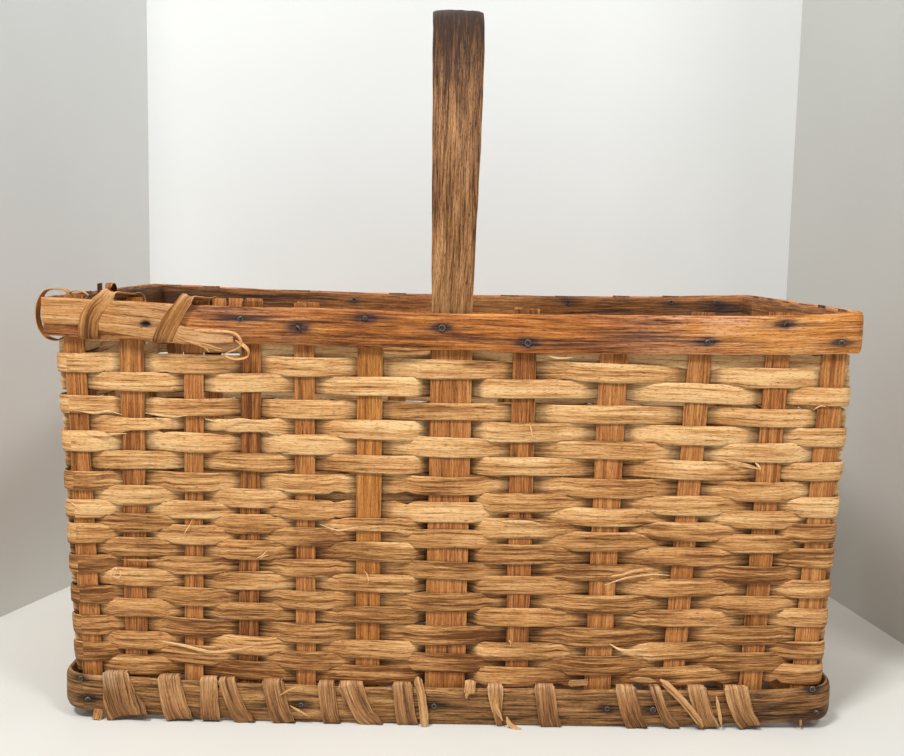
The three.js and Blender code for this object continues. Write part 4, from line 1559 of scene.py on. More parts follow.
@dataclass
class Winding:
    """One splint wound round a board: over the top from inside, down the outside, and up to the next turn."""

    name: str
    finish: Finish
    wall: Wall
    turns: Sequence[Turn]
    near: float
    far: float
    edges: Callable[[float], tuple[float, float]]
    thickness: float = 1.0 * MM
    arch: float = 0.0
    over: float = 0.0
    narrow: float = 1.0
    slack: float = 0.3 * MM
    round: float = 2.2 * MM
    thin_end: float = 8 * MM
    spacing: float = 1.6 * MM
    cut: Cut = Cut(lanes=8, ripple=0.12 * MM, ridge=1.4 * MM, ragged=0.3 * MM, rag_length=9 * MM)

    def spot(self, place: float, reach: float, height: float) -> Vector:
        """Returns the point at a place along the wall, a reach and a height."""
        return self.wall.along * place + self.wall.out * reach + UP * height

    def corners(self) -> Iterable[tuple[Vector, float]]:
        """Follows the splint from turn to turn.

        Returns:
            Each corner and the splint's width there.
        """
        first, last = self.turns[0], self.turns[-1]
        low, high = self.edges(first.top)
        yield self.spot(first.top + self.over, self.far, mix(low, high, 0.4)), first.width * 0.8
        for turn in self.turns:
            high = self.edges(turn.top)[1]
            low = self.edges(turn.foot)[0]
            lean = turn.top - turn.foot
            if turn is not first:
                yield self.spot(turn.top + self.over, self.far, mix(low, high, 0.75)), turn.width * 0.8
            yield self.spot(turn.top + self.over, self.far, high + self.arch * 0.4), turn.width * 0.85
            if self.arch:
                reach = mix(self.far, self.near, 0.86)
                peak = self.spot(turn.top + self.over * 0.16, reach, high + self.arch)
                yield peak, turn.width * 0.85
            fold = self.spot(turn.top, self.near - self.arch * 0.16, high - self.arch * 0.04)
            yield fold, turn.width * self.narrow
            for share in (0.22, 0.5, 0.78):
                place = turn.foot + lean * (1.0 - share) ** turn.sweep
                bulge = self.slack * math.sin(math.pi * share)
                widening = mix(self.narrow, 1.0, ease(share * 2.0))
                width = turn.width * mix(widening, turn.foot_share, ease(share))
                yield self.spot(place, self.near + bulge, mix(high, low, share)), width
            yield self.spot(turn.foot, self.near, low), turn.width * turn.foot_share
            yield self.spot(turn.foot, self.far, low), turn.width * 0.85 * turn.foot_share
            if turn is not last:
                yield self.spot(turn.foot, self.far, mix(low, high, 0.25)), turn.width * 0.8
        low, high = self.edges(last.foot)
        yield self.spot(last.foot, self.far, mix(low, high, 0.6)), last.width * 0.7

    def build(self, *stands_for: str) -> None:
        """Builds the lashing.

        Args:
            stands_for: The frame's nodes that it takes the place of.
        """
        corners, widths = zip(*self.corners())
        route = Route(corners, self.round)
        seed = random.Random(self.name).uniform(0.0, 50.0)
        heights = [corner.z for corner in corners]
        low, high = min(heights), max(heights)

        def sizes(run: float, share: float) -> dict:
            """Returns the sizes at a run: worn on top, and dirty low down."""
            end = ease(min(run, route.length - run) / self.thin_end)
            rise = (route.at(run).z - low) / (high - low)
            drift = noise.noise(Vector((run * 40.0, seed, 0.0)))
            return {
                "half_width": route.value(run, widths) / 2 * (1.0 + 0.07 * drift) * mix(0.5, 1.0, end),
                "half_thick": self.thickness / 2,
                "tone": 0.5 * drift + 0.3 * (rise - 0.5),
                "soil": 0.3 * ease(1.0 - 2.2 * rise),
                "wear": ease((rise - 0.62) / 0.38),
                "cup": 0.12 * MM * drift,
            }

        stations = laid_along(route, self.wall.along, self.spacing, sizes)
        Strip(self.name, self.finish, stations, self.cut).build(*stands_for)


@dataclass
class Rims:
    """The two boards round the top, the lighter mending board, their nails and their lashing."""

    form: Frame
    bow: float = 5 * MM
    # The front board's outline: each place's x and the heights of its lower and top edges.
    front_edges: tuple[tuple[float, float, float], ...] = (
        (-280, 273.7, 299.8), (-241.7, 272.8, 298.6), (-201.2, 271.5, 297), (-147.1, 270, 295.4),
        (-97.8, 269.9, 295.5), (-68, 269, 294.9), (-18, 268.6, 293.4), (14, 268.8, 293.6),
        (54, 267.5, 293.8), (94, 267.5, 294.5), (124, 268.1, 294.8), (156, 268.8, 295.1),
        (208, 269.7, 296.1), (249, 270.6, 297.9), (280, 271.5, 299.8),
    )
    radius: float = 9.05 * MM
    thick: float = 4 * MM
    inner_radius: float = 6 * MM
    inner_half: tuple[float, float] = (0.27135, 0.13635)
    inner_height: float = 25 * MM
    inner_drop: float = 1 * MM
    inner_thick: float = 3.5 * MM
    inner_spacing: float = 2.6 * MM
    outer_spacing: float = 2.2 * MM
    outer_gap: float = 0.25 * MM
    jog: float = 3.3 * MM
    jog_half: float = 17.8 * MM
    jog_run: float = 12 * MM
    handle_x: float = -3.6 * MM
    cut: Cut = Cut(
        lanes=22, edge_share=0.3, ripple=0.16 * MM, ridge=2.4 * MM, ragged=0.5 * MM, rag_length=30 * MM,
    )
    patch_cut: Cut = Cut(lanes=26, edge_share=0.5, ripple=0.22 * MM, ridge=2.0 * MM, ragged=0.4 * MM)
    patch_outline: tuple[tuple[float, float, float], ...] = (
        (-280, 281.8, 299.4), (-254.2, 281.6, 298.8), (-240.8, 277.8, 298.2), (-222, 275, 297.6),
        (-203.3, 272.6, 296.8), (-195, 270.6, 295.8), (-191.6, 270, 294.4), (-189, 269.8, 283.6),
        (-184, 269.6, 281), (-176.3, 270, 279.4), (-161, 270.6, 278.2), (-151.4, 271.4, 277.2),
    )
    patch_step: float = 0.9
    patch_y: float = -146.4
    patch_torn: float = -178.0
    hole: tuple[float, float] = (-210.4, 282.6)
    hole_depth: float = 2.6 * MM
    nail_reach: float = 145.3
    nails: tuple[Nail, ...] = (
        Nail(-146.9, 287.2, 145.4, radius=2.2, lean=0.5, spin=0.6),
        Nail(-107.8, 281.9, 145.4, radius=2.3, lean=1.1, spin=-0.7),
        Nail(-62.6, 289.5, 145.3, radius=1.6),
        Nail(48.1, 274.7, 145.3, radius=2.5),
        Nail(170.4, 277.7, 145.3, radius=2.0, lean=0.5, spin=0.8),
        Nail(222.9, 291.0, 145.4, radius=2.4, lean=1.1, spin=0.75),
        Nail(261.9, 278.8, 145.3, radius=2.1, lean=0.5, spin=-0.6),
    )
    handle_nail: Nail = Nail(-10.5, 283.8, 145.3, radius=2.5)
    back_nails: tuple[Nail, ...] = (
        Nail(-92.5, 288.6, -134.4, radius=2.3), Nail(107.2, 290.0, -134.4, radius=2.3),
        Nail(203.7, 292.0, -134.4, radius=2.2), Nail(246.0, 292.6, -134.4, radius=2.2),
    )
    front_stains: tuple[Spot, ...] = spots(
        (-146.9, 287.2, 15, 2.6, 0.9), (-165, 289, 14, 1.8, 0.5), (-134, 289, 14, 1.2, 0.5),
        (-107.8, 281.9, 9, 3.2, 0.95), (-113, 273, 24, 2.2, 0.55), (-146, 275, 10, 4, 0.4),
        (-62.6, 289.5, 13, 1.7, 0.95), (-80, 290.8, 8, 0.9, 0.5), (-48, 289.2, 9, 0.9, 0.6),
        (-10.5, 283.8, 8, 2.6, 0.9), (6, 283.5, 10, 1, 0.45), (-24, 282.6, 9, 1, 0.5),
        (48.1, 274.7, 8, 3, 0.95), (71, 273.8, 19, 2.1, 0.85), (92, 273, 10, 1.2, 0.5),
        (31, 275, 10, 0.9, 0.6), (122, 280.6, 22, 1.8, 0.75), (104, 276.4, 12, 1.4, 0.5),
        (142, 279, 16, 1, 0.5), (170.4, 277.7, 10, 2, 0.75), (158, 277.2, 10, 2.4, 0.5),
        (188, 279.6, 14, 1.2, 0.6), (205, 277.2, 12, 1.2, 0.4), (222.9, 291, 12, 2, 0.7),
        (240, 291.6, 10, 1, 0.45), (213, 288, 12, 1.4, 0.4), (261.9, 278.8, 9, 1.8, 0.7),
        (247, 277, 14, 1.3, 0.5), (272, 279, 8, 1, 0.5), (-40, 271, 30, 1.2, 0.35),
        (14, 276, 22, 0.9, 0.5), (-8, 276.6, 26, 0.8, 0.4), (-92, 286, 18, 0.9, 0.35),
    )
    back_stains: tuple[Spot, ...] = spots(
        (-92.5, 286.6, 8, 3, 0.9), (107.2, 290.4, 9, 3, 0.9), (202.7, 290, 12, 3.4, 0.9),
        (246, 292, 22, 3, 0.95), (238, 284, 30, 4.5, 0.95), (262, 287, 16, 4, 0.8),
        (150, 283, 26, 2.2, 0.5), (-190, 287, 40, 4, 0.5), (-248, 289, 26, 5, 0.5),
        (10, 285, 60, 1.6, 0.35), (-150, 292, 26, 1.4, 0.4), (60, 292, 30, 1.2, 0.35),
    )
    lash_turns: tuple[Turn, ...] = (
        Turn(-185.0 * MM, -199.6 * MM, 12 * MM, 1.08, 1.3),
        Turn(-237.6 * MM, -249.0 * MM, 13 * MM, 1.06, 3.4),
    )
    loop_points: tuple[tuple[float, float, float], ...] = (
        (-266, -128, 292), (-268, -129, 302.5), (-275, -131, 304.6), (-281.2, -133.5, 303.2),
        (-284.6, -136, 297.5), (-285.7, -138, 290.5), (-285.3, -138.5, 283), (-283.4, -138, 276.6),
        (-279.4, -137, 271.6), (-273.5, -135, 269.8), (-268, -132, 272),
    )
    # The stakes' ends that show above the rim: each one's x, width and height.
    tops: tuple[tuple[float, float, float], ...] = (
        (-173.1, 9, 300.4), (-162.3, 9.4, 300.6), (-151, 9.4, 300.8), (-138.6, 11.6, 301),
        (-106.6, 6.4, 299.4), (-98.6, 8.8, 299.2), (42.1, 6.4, 298.4), (53, 6.2, 297.6), (-228, 8, 299.8),
        (166, 12, 297), (224, 9, 298),
    )
    curls: tuple[Sliver, ...] = (
        *slivers(
            Finish.RIM_LASH,
            (((-272, -128, 297), (-267, -127, 302.4), (-260, -127, 303.2), (-254.5, -128, 300.2),
             (-257.5, -128, 297.6)), 3.6, (0, 1, 0), 0.8),
            (((-276, 4, 292), (-275.8, 1, 300), (-275.4, -7, 304.6), (-275.2, -15, 303), (-275.2, -16, 296)),
             6, (1, 0.1, 0), 0.8, 0.3, -0.2),
        ),
        *slivers(
            Finish.BACK_RIM,
            (((-275.9, -34, 292), (-275.9, -34, 299), (-275.9, -34.2, 305.4)), 11, (0, 1, 0), 1.3, 0, -1),
        ),
    )
    tail: tuple[Sliver, ...] = slivers(
        Finish.PATCH,
        (((-178, -147.2, 279.2), (-165, -147.5, 278.9), (-154.5, -147.6, 278.3), (-149.6, -147.4, 277),
         (-146.8, -147.2, 273.8), (-145.8, -146.8, 270), (-148.9, -146.2, 267.1), (-153.1, -145.6, 265.2),
         (-158.4, -145, 263.3)), 2.2, (0, 0, 1), 0.9, 0.12, 0.9, (0.5, 0.86, 0.1)),
        (((-150, -146.4, 273), (-145.6, -146.8, 270.2), (-141.4, -146.5, 266.2), (-142, -146, 261.8),
         (-148.9, -145.6, 259.9), (-155.2, -145, 261.2), (-159.4, -144.8, 263.7)), 2.8, (0.1, 0.6, 0.8),
         0.7, 0.15, 0.7, (0.3, 0.9, 0.2)),
        (((-184, -147.6, 272), (-176, -147.6, 270), (-171, -147.2, 268.2), (-167.6, -146.8, 264.4)), 2,
         (0, 0, 1), 0.5, 0.3, 0.9),
        (((-178, -147.5, 271), (-168, -147.4, 268.6), (-161, -146.8, 266.4), (-155.5, -146.4, 266.2)), 2.4,
         (0, 0, 1), 0.5, 0.3, 0.4),
    )

    def top_at(self, x: float) -> float:
        """Returns the height of the rims' top edge, away from the front."""
        share = x / self.half_x
        return self.high - self.bow * (1.0 - share * share)

    def foot_at(self, x: float) -> float:
        """Returns the height of the outer rim's lower edge, away from the front."""
        return self.top_at(x) - (self.high - self.bow - self.low)

    def front_at(self, x: float) -> tuple[float, float]:
        """Returns the heights of the front board's lower and top edges."""
        foot, top = self.read([(edge[0] * MM, *edge[1:]) for edge in self.front_edges], x)
        return foot * MM, top * MM

    def read(self, outline: Sequence[tuple[float, float, float]], x: float) -> tuple[float, float]:
        """Reads a board's outline at a place.

        Args:
            outline: Rows of a place and the heights of the lower and the top edge there.
            x: The place.

        Returns:
            The heights of the two edges, in the outline's own measure.
        """
        after, share = bracket([row[0] for row in outline], x)
        before, following = outline[after - 1], outline[after]
        return mix(before[1], following[1], share), mix(before[2], following[2], share)

    def edges_at(self, place: Vector) -> tuple[float, float]:
        """Returns the heights of the outer board's two edges at a place on the rim."""
        foot, top = self.front_at(place.x)
        behind = ease((place.y + self.half_y - 0.01) / 0.06)
        return mix(foot, self.foot_at(place.x), behind), mix(top, self.top_at(place.x), behind)

    def jog_at(self, x: float) -> float:
        """Returns how far the inner rim is pushed inwards to pass the handle's leg."""
        return self.jog * ease((self.jog_half + self.jog_run - abs(x - self.handle_x)) / self.jog_run)

    def build(self) -> None:
        """Builds the rims and all that is fixed to them."""
        low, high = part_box("outer_rim")
        self.half_x, self.half_y = high.x, high.y
        self.low, self.high = low.z, high.z
        self.outer()
        self.inner()
        self.patch()
        self.lashings()
        for number, nail in enumerate(self.nails, 1):
            nail.build(f"rim_nail_head_{number}", f"rim_nail_{number}")
        self.handle_nail.build("handle_nail_head_front", "handle_nail_front")
        low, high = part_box("handle_nail_back")
        x, z = -(low.x + high.x) / 2, (low.z + high.z) / 2
        back_nail = Nail(x / MM, z / MM, self.nail_reach, Wall.BACK, radius=2.5)
        back_nail.build("handle_nail_head_back", "handle_nail_back")
        for number, nail in enumerate(self.back_nails, 1):
            nail.build(f"back_rim_nail_{number}")
        for number, (x, width, top) in enumerate(self.tops, 1):
            points = ((x, -138.6, top - 16.0), (x - 0.2, -138.6, top - 8.0), (x, -138.65, top))
            top_end = Sliver(points, width, Finish.STAKE, (1.0, 0.0, 0.0), 0.9, 0.0, 0.3)
            top_end.build(f"cut_end_{number:02d}")
        for number, curl in enumerate(self.curls, 1):
            curl.build(f"splint_curl_{number}")

    def outer(self) -> None:
        """Builds the outer board, whose ends meet at the front left corner."""
        inset = self.thick / 2
        x, y = self.half_x - inset - self.outer_gap, self.half_y - inset - self.outer_gap
        corners = [
            Vector((-self.half_x + 0.1 * MM, -y, 0.0)), Vector((x, -y, 0.0)), Vector((x, y, 0.0)),
            Vector((-x, y, 0.0)), Vector((-x, -y + inset + 0.3 * MM, 0.0)),
        ]
        halos = [nail.halo() for nail in (*self.nails[1:], self.handle_nail)]
        stains = marks_of((*self.front_stains, *halos), Wall.FRONT)

        def sizes(run: float, share: float) -> dict:
            """Returns the sizes at a run. The width follows from the edges, below."""
            drift = noise.noise(Vector((run * 7.0, 3.0, 0.0)))
            thickness = self.thick * mix(0.8, 1.0, ease(run / (4 * MM)))
            return {"half_width": 0.0, "half_thick": thickness / 2, "tone": 0.6 * drift}

        stations = laid_along(Route(corners, self.radius), UP, self.outer_spacing, sizes)
        for station in stations:
            place = station.middle
            foot, top = self.edges_at(place)
            place.z = (top + foot) / 2 + 0.3 * MM * noise.noise(place * 9.0)
            station.half_width = (top - foot) / 2
            station.wear = 0.1 + 0.85 * ease((place.x - 0.08) / 0.1) if place.y < 0 else 0.5
            station.wear += 0.3 * ease((-place.x - 0.08) / 0.03) if place.y < 0 else 0.0
            station.tone += 0.3 * ease((place.x - 0.1) / 0.12)
        Strip("rim_board_outer", Finish.RIM, stations, self.cut, iron=stains).build("outer_rim")

    def inner(self) -> None:
        """Builds the inner board, bent round the handle's legs."""
        stations = []
        for _, place, out in Loop(*self.inner_half, self.inner_radius).steps(self.inner_spacing):
            top = self.edges_at(place)[1] - self.inner_drop
            foot = top - self.inner_height
            left = ease((-0.13 - place.x) / 0.08)
            inwards = self.jog_at(place.x) if abs(out.y) > 0.9 else 0.0
            middle = place - out * inwards + UP * ((top + foot) / 2 + 0.35 * MM * noise.noise(place * 8.0))
            drift = noise.noise(place * 9.0)
            stations.append(Station(
                middle, out, UP, (top - foot) / 2, self.inner_thick / 2,
                tone=0.5 * drift - 0.5 * left, soil=0.1 + 0.35 * left, wear=0.3,
            ))
        strip = Strip("rim_board_inner", Finish.BACK_RIM, stations, self.cut, closed=True)
        strip.iron = marks_of(self.back_stains, Wall.BACK)
        strip.build("inner_rim")

    def patch(self) -> None:
        """Builds the mending board with its empty nail hole, and its torn tail."""
        start, end = self.patch_outline[0][0], self.patch_outline[-1][0]
        stations = []
        count = math.ceil((end - start) / self.patch_step)
        for step in range(count + 1):
            x = mix(start, end, step / count)
            foot, top = self.read(self.patch_outline, x)
            middle = Vector((x, self.patch_y, (foot + top) / 2)) * MM
            tail = ease((x - self.patch_torn) / 8.0)
            tone = 0.15 + 0.5 * tail + 0.4 * noise.noise(middle * 12.0)
            stations.append(Station(
                middle, Wall.FRONT.out, UP, (top - foot) / 2 * MM, mix(1.05, 0.8, tail) * MM,
                tone=tone, wear=0.25 + 0.75 * ease((x + 236.0) / 14.0),
            ))
        hole = Spot(*self.hole, 3.0, 1.9, 1.3)
        stains = spots(
            (*self.hole, 4.6, 1.6, 0.8), (*self.hole, 2.9, 1.8, 1.4), (-202.0, 282.8, 7.0, 0.9, 0.6),
            (-190.0, 292.0, 10.0, 1.2, 0.4), (-268.0, 284.0, 14.0, 0.8, 0.4),
        )
        strip = Strip("mending_board", Finish.PATCH, stations, self.patch_cut)
        strip.iron = marks_of(stains, Wall.FRONT)
        strip.dent = lambda place: self.hole_depth * min(1.4 * hole.strength(place), 1.0) ** 2
        strip.build("rim_patch")
        for number, sliver in enumerate(self.tail, 1):
            sliver.build(f"mending_board_splinter_{number}")

    def lashings(self) -> None:
        """Builds the two turns round the rims and the slack loop at the corner."""
        Winding(
            "rim_lashing_splint", Finish.RIM_LASH, Wall.FRONT, self.lash_turns, 147.2 * MM, 134.2 * MM,
            lambda x: (self.front_at(x)[0] - 1.2 * MM, self.front_at(x)[1] + 0.8 * MM),
            thickness=0.9 * MM, arch=4.4 * MM, over=19 * MM, narrow=0.8, slack=0.2 * MM, round=6 * MM,
        ).build("rim_lashing")
        line = smooth_line([Vector(point) * MM for point in self.loop_points], 1.2 * MM)

        def sizes(run: float, share: float) -> dict:
            """Returns the corner loop's sizes, which are the same all along."""
            return {"half_width": 4.6 * MM, "half_thick": 0.5 * MM, "tone": 0.5, "wear": 0.2}

        stations = laid_along(Route(line, 0.3 * MM), Wall.LEFT.along, 1.3 * MM, sizes)
        Strip("corner_loop", Finish.RIM_LASH, stations, Cut(lanes=6)).build("rim_lashing_corner")


@dataclass
class Foot:
    """The hoop under the basket, its nails, and the splint that is wound round it."""

    form: Frame
    radius: float = 13.5 * MM
    thick: float = 5 * MM
    gap: float = 0.4 * MM
    crown: float = 26.4 * MM
    low_rise: float = 8.4 * MM
    left_rise: float = 7.8 * MM
    right_rise: float = 1.6 * MM
    right_curl: float = 6.6 * MM
    wrap_width: float = 13 * MM
    wrap_spacing: float = 34 * MM
    wrap_lean: float = 9 * MM
    wrap_over: float = 3.2 * MM
    half: float = 259.5 * MM
    spacing: float = 2.6 * MM
    cut: Cut = Cut(
        lanes=20, edge_share=0.3, ripple=0.22 * MM, ridge=2.6 * MM, ragged=0.6 * MM, rag_length=26 * MM,
    )
    # Each front turn's places at the top and the foot, as shares of half the front, then its width as a
    # share of the usual one and, for some, how much of that width is left at the foot.
    front_turns: tuple[tuple[float, ...], ...] = (
        (-0.911, -0.878, 1.45, 1.6), (-0.766, -0.735, 1.25, 1.15), (-0.658, -0.652, 0.95, 1.1),
        (-0.609, -0.553, 0.92), (-0.484, -0.448, 1.18), (-0.338, -0.319, 0.92), (-0.272, -0.205, 1.35, 0.74),
        (-0.13, -0.113, 1.1), (0.123, 0.139, 0.9, 0.32), (0.259, 0.281, 1.12), (0.48, 0.52, 1.1),
        (0.561, 0.622, 0.55), (0.676, 0.718, 1.05), (0.783, 0.83, 1.3, 0.86),
    )
    nails: tuple[Nail, ...] = (
        Nail(-260.8, 30.8, 140.9, radius=1.9), Nail(-256.2, 15.6, 140.9, radius=2.1, lean=0.6, spin=0.4),
        Nail(-105.5, 13.6, 140.9, radius=1.9), Nail(-11.1, 14.4, 140.9, radius=2.0),
        Nail(112.2, 14.2, 140.9, radius=1.9), Nail(145.0, 14.0, 140.9, radius=2.2),
        Nail(258.0, 31.0, 140.7, radius=2.2), Nail(262.0, 13.6, 140.3, radius=2.1, lean=0.5, spin=-0.5),
    )
    stains: tuple[Spot, ...] = spots(
        (-258, 18, 22, 6, 0.35), (-256.2, 15.6, 8, 2, 0.9), (-105.5, 13.6, 9, 2.4, 1),
        (-185, 6, 60, 3.5, 0.4), (-11.1, 14.4, 14, 3, 0.85), (4, 13, 24, 2.2, 0.5),
        (60, 10, 30, 3, 0.5), (112.2, 14.2, 12, 2.6, 0.85), (145, 14, 13, 2.8, 0.85),
        (130, 20, 30, 2, 0.45), (225, 16, 30, 4, 0.5), (258, 29, 14, 4, 0.55),
        (240, 9, 34, 3, 0.5), (-130, 12, 30, 2.4, 0.45), (20, 4, 80, 2.2, 0.5),
        (190, 6, 30, 3, 0.45), (32, 20, 16, 2, 0.35), (-60, 14, 26, 1.8, 0.3),
    )
    ends: tuple[Sliver, ...] = (
        *slivers(
            Finish.FOOT_LASH,
            (((-23.4, -141.6, 36), (-22, -143.4, 31), (-20, -143.9, 22), (-18.2, -144.1, 10),
             (-17.4, -144.2, 0.4)), 6, (1, 0, 0.1), 0.9, 0.08, 0.3),
            (((14.5, -139.6, 33.6), (14.3, -141.4, 31.8), (14.2, -141.9, 28), (13.9, -141.9, 24)), 7.5,
             (1, 0, 0), 0.9, 0.06, 0.6),
            (((12.4, -141.9, 26), (12.2, -142.1, 23.4), (11.8, -142.2, 20.8)), 3, (1, 0, 0), 0.7, 0.5, 0.6),
            (((31.5, -142.9, 22), (33, -143.6, 15), (36, -144, 9), (37.6, -144.2, 5.6)), 3, (1, 0, 0.2), 0.8,
             0.4, 0.6),
            (((40.6, -142.6, 8), (42.6, -143.6, 3.4), (47, -144.8, 0.6), (51, -145.6, 0.5)), 3.2,
             (1, 0.2, 0.2), 0.8, 0.3, 0.7),
            (((84, -140.6, 32.4), (91, -141.2, 33.2), (98, -141.2, 33.4)), 5, (0, -0.2, 1), 1, 0.04, 0.2),
            (((149, -141.2, 36.6), (154, -143, 33), (166, -143.9, 21), (177, -144.3, 8), (180, -144.4, 3.2)),
             5, (1, 0, 0.6), 0.9, 0.12, 0.5),
            (((189, -143.4, 26), (191.5, -144.2, 14), (193.6, -144.3, 3.4)), 2.4, (1, 0, 0.2), 0.7, 0.3, 0.7),
            (((128, -140.6, 36.4), (136, -142, 36.6), (146, -142.2, 35.6)), 4, (0.1, -0.3, 1), 0.9, 0.3, 0.4),
        ),
        *slivers(
            Finish.HOOP,
            (((-121, -143.3, 21), (-113.5, -143.5, 25.5), (-103.5, -143.3, 28.8)), 1.4, (0, 0, 1), 0.7, 0.4,
             0.9),
            (((-113, -143.1, 14), (-106, -143.5, 10), (-98.5, -143.4, 5.6)), 1.8, (0, 0, 1), 0.7, 0.4, 0.9),
            (((-249, -139, 8.6), (-249.6, -139.6, 4), (-250.4, -140.6, 0.7)), 6.4, (1, 0, 0), 1.4, 0, 0.6),
            (((251, -139.4, 8.2), (251.4, -139.8, 5.4), (251.2, -140.2, 3)), 1.8, (1, 0, 0), 1, 0.2, 0.2),
        ),
    )

    def edges_at(self, x: float) -> tuple[float, float]:
        """Finds the hoop's edges, which have bent up off the floor at both ends.

        Args:
            x: The place.

        Returns:
            The heights of the lower and the top edge.
        """
        share = min(abs(x) / self.half_x, 1.0)
        if x < 0:
            rise = self.left_rise * share**2.6
        else:
            rise = self.right_rise * share + self.right_curl * share**9
        return self.gap + self.low_rise * share**3.4, self.crown + rise

    def build(self) -> None:
        """Builds the hoop, its lashing on each side, the broken ends and the nails."""
        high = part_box("foot_hoop")[1]
        self.half_x, self.half_y = high.x, high.y
        self.hoop()
        turns = {Wall.FRONT: [
            Turn(top * self.half, foot * self.half, share * self.wrap_width, *more)
            for top, foot, share, *more in self.front_turns
        ]}
        for wall in (Wall.RIGHT, Wall.BACK, Wall.LEFT):
            turns[wall] = self.spaced(wall)
        for wall, wall_turns in turns.items():
            self.lash(wall, wall_turns)
        for number, end in enumerate(self.ends, 1):
            end.build(f"foot_splinter_{number:02d}")
        for number, nail in enumerate(self.nails, 1):
            nail.build(f"foot_nail_{number}")

    def hoop(self) -> None:
        """Builds the hoop, bent up a little at both ends."""
        inset = self.thick / 2
        loop = Loop(self.half_x - inset, self.half_y - inset, self.radius)
        stations = []
        for _, place, out in loop.steps(self.spacing):
            drift = noise.noise(place * 7.0)
            end = ease((abs(place.x) - 0.2) / 0.06)
            low, high = self.edges_at(place.x)
            middle = place + UP * ((low + high) / 2 + 0.3 * MM * drift)
            stations.append(Station(
                middle, out, UP, (high - low) / 2 * (1.0 + 0.02 * drift), self.thick / 2,
                tone=0.9 * drift - 0.1 * end, soil=0.08, wear=0.6,
            ))
        strip = Strip("foot_board", Finish.HOOP, stations, self.cut, closed=True)
        strip.iron = marks_of((*self.stains, *(nail.halo() for nail in self.nails)), Wall.FRONT)
        strip.build("foot_hoop")

    def spaced(self, wall: Wall) -> list[Turn]:
        """Spaces turns evenly along a wall, each a little off its place.

        Args:
            wall: The wall.

        Returns:
            Its turns.
        """
        low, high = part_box(f"foot_lashing_{wall.name.lower()}")
        reaches = sorted((low.dot(wall.along), high.dot(wall.along)))
        run = reaches[1] - reaches[0] - self.wrap_width - self.wrap_lean
        count = round(run / self.wrap_spacing) + 1
        draw = random.Random(wall.name)
        turns = []
        for index in range(count):
            top = reaches[0] + self.wrap_width / 2 + run * index / (count - 1) + draw.uniform(-2, 2) * MM
            lean = self.wrap_lean * draw.uniform(0.3, 1.1)
            turns.append(Turn(top, top + lean, self.wrap_width * draw.uniform(0.75, 1.1)))
        return turns

    def lash(self, wall: Wall, turns: Sequence[Turn]) -> None:
        """Winds the splint round the hoop along one wall.

        Args:
            wall: The wall.
            turns: Its turns.
        """
        reach = self.half_y if wall.long else self.half_x

        def edges(place: float) -> tuple[float, float]:
            """Returns the heights between which the splint goes round the hoop at a place."""
            x = (wall.along * place + wall.out * reach).x
            low, high = self.edges_at(x)
            return max(low - 0.75 * MM, 0.2 * MM), high + self.wrap_over

        Winding(
            f"foot_splint_{wall.name.lower()}", Finish.FOOT_LASH, wall, turns,
            reach + 1.0 * MM, reach - self.thick - 0.9 * MM, edges, slack=0.5 * MM, arch=0.4 * MM,
        ).build(f"foot_lashing_{wall.name.lower()}")


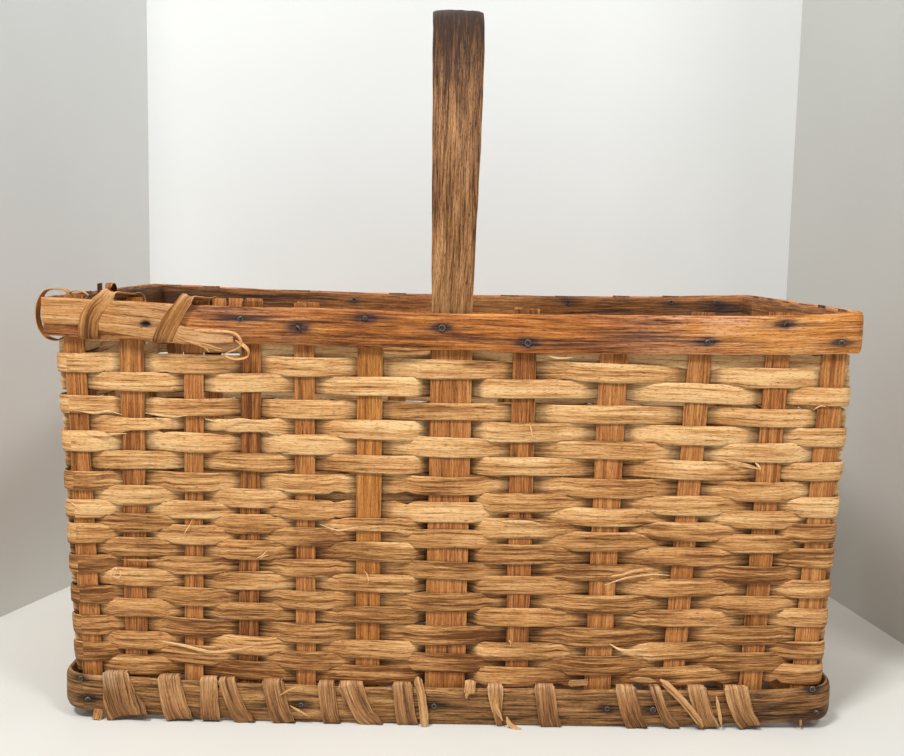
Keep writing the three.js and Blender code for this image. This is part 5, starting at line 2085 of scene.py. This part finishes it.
@dataclass
class Handle:
    """The bow handle: a leg down inside each long wall, and a bow that thickens above the rim."""

    form: Frame
    leg_low: float = 34 * MM
    bow_low: float = 298.5 * MM
    leg_gap: float = 1.05 * MM
    lean: float = 1.3 * MM
    thin: float = 3 * MM
    thick: float = 7 * MM
    thicken: float = 45 * MM
    narrow: float = 28 * MM
    wide: float = 39 * MM
    spacing: float = 2.4 * MM
    bow_steps: int = 200
    top_gap: float = 1.4 * MM
    cut: Cut = Cut(
        lanes=26, edge_share=0.5, ripple=0.42 * MM, ridge=1.5 * MM, ragged=0.5 * MM, rag_length=24 * MM,
    )

    def face(self, height: float) -> float:
        """Returns the reach of a leg's outer face at a height inside the weave."""
        return self.form.half(height)[1] - self.leg_gap

    def outline(self) -> list[tuple[Vector, Vector]]:
        """Draws the handle's outer face.

        Returns:
            Its points, from the front leg's foot to the back's, each with the way out there.
        """
        reach, rise = self.face(self.bow_low), self.high - self.bow_low
        legs = []
        count = math.ceil((self.bow_low - self.leg_low) / self.spacing)
        for step in range(count):
            height = mix(self.leg_low, self.bow_low, step / count)
            legs.append((Vector((self.x, -self.face(height), height)), Wall.FRONT.out))
        bow = []
        for step in range(self.bow_steps + 1):
            angle = math.pi * step / self.bow_steps
            lean = self.lean * math.sin(angle)
            point = Vector((self.x + lean, -reach * math.cos(angle), self.bow_low + rise * math.sin(angle)))
            way = Vector((0.0, -math.cos(angle) / reach, math.sin(angle) / rise)).normalized()
            bow.append((point, way))
        back = [(Vector((point.x, -point.y, point.z)), Wall.BACK.out) for point, _ in reversed(legs)]
        return legs + bow + back

    def build(self) -> None:
        """Builds the handle."""
        low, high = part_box("handle")
        self.x, self.high = (low.x + high.x) / 2, high.z - self.top_gap
        stations = []
        for point, way in self.outline():
            rise = max(point.z - self.bow_low, 0.0)
            share = rise / (self.high - self.bow_low)
            thickness = mix(self.thin, self.thick, ease(rise / self.thicken))
            sway = noise.noise(Vector((point.y * 8.0, point.z * 8.0, 2.0)))
            crest = ease((share - 0.55) / 0.4)
            waist = ease(share * 2.4)
            middle = point - way * thickness / 2 + Vector((0.6 * MM * sway, 0.0, 0.0))
            half = mix(self.narrow, self.wide, share) / 2 * (1.0 + 0.015 * sway)
            stations.append(Station(
                middle, way, Wall.BACK.along, half, thickness / 2,
                tone=0.4 + 0.2 * sway - 0.7 * waist - 0.8 * crest, soil=0.6 * crest, wear=0.5 * (1.0 - crest),
            ))
        Strip("bow_handle", Finish.HANDLE, stations, self.cut).build("handle")


def main() -> None:
    """Builds the basket's looks in order, then the camera and the stage."""
    logging.basicConfig(level=logging.INFO, format="%(message)s")
    noise.seed_set(NOISE_SEED)
    PhotoCamera().build()
    Studio().build()
    form = Frame()
    Stakes(form).build()
    Weave(form).build()
    Rims(form).build()
    Foot(form).build()
    Handle(form).build()


if __name__ == "__main__":
    main()
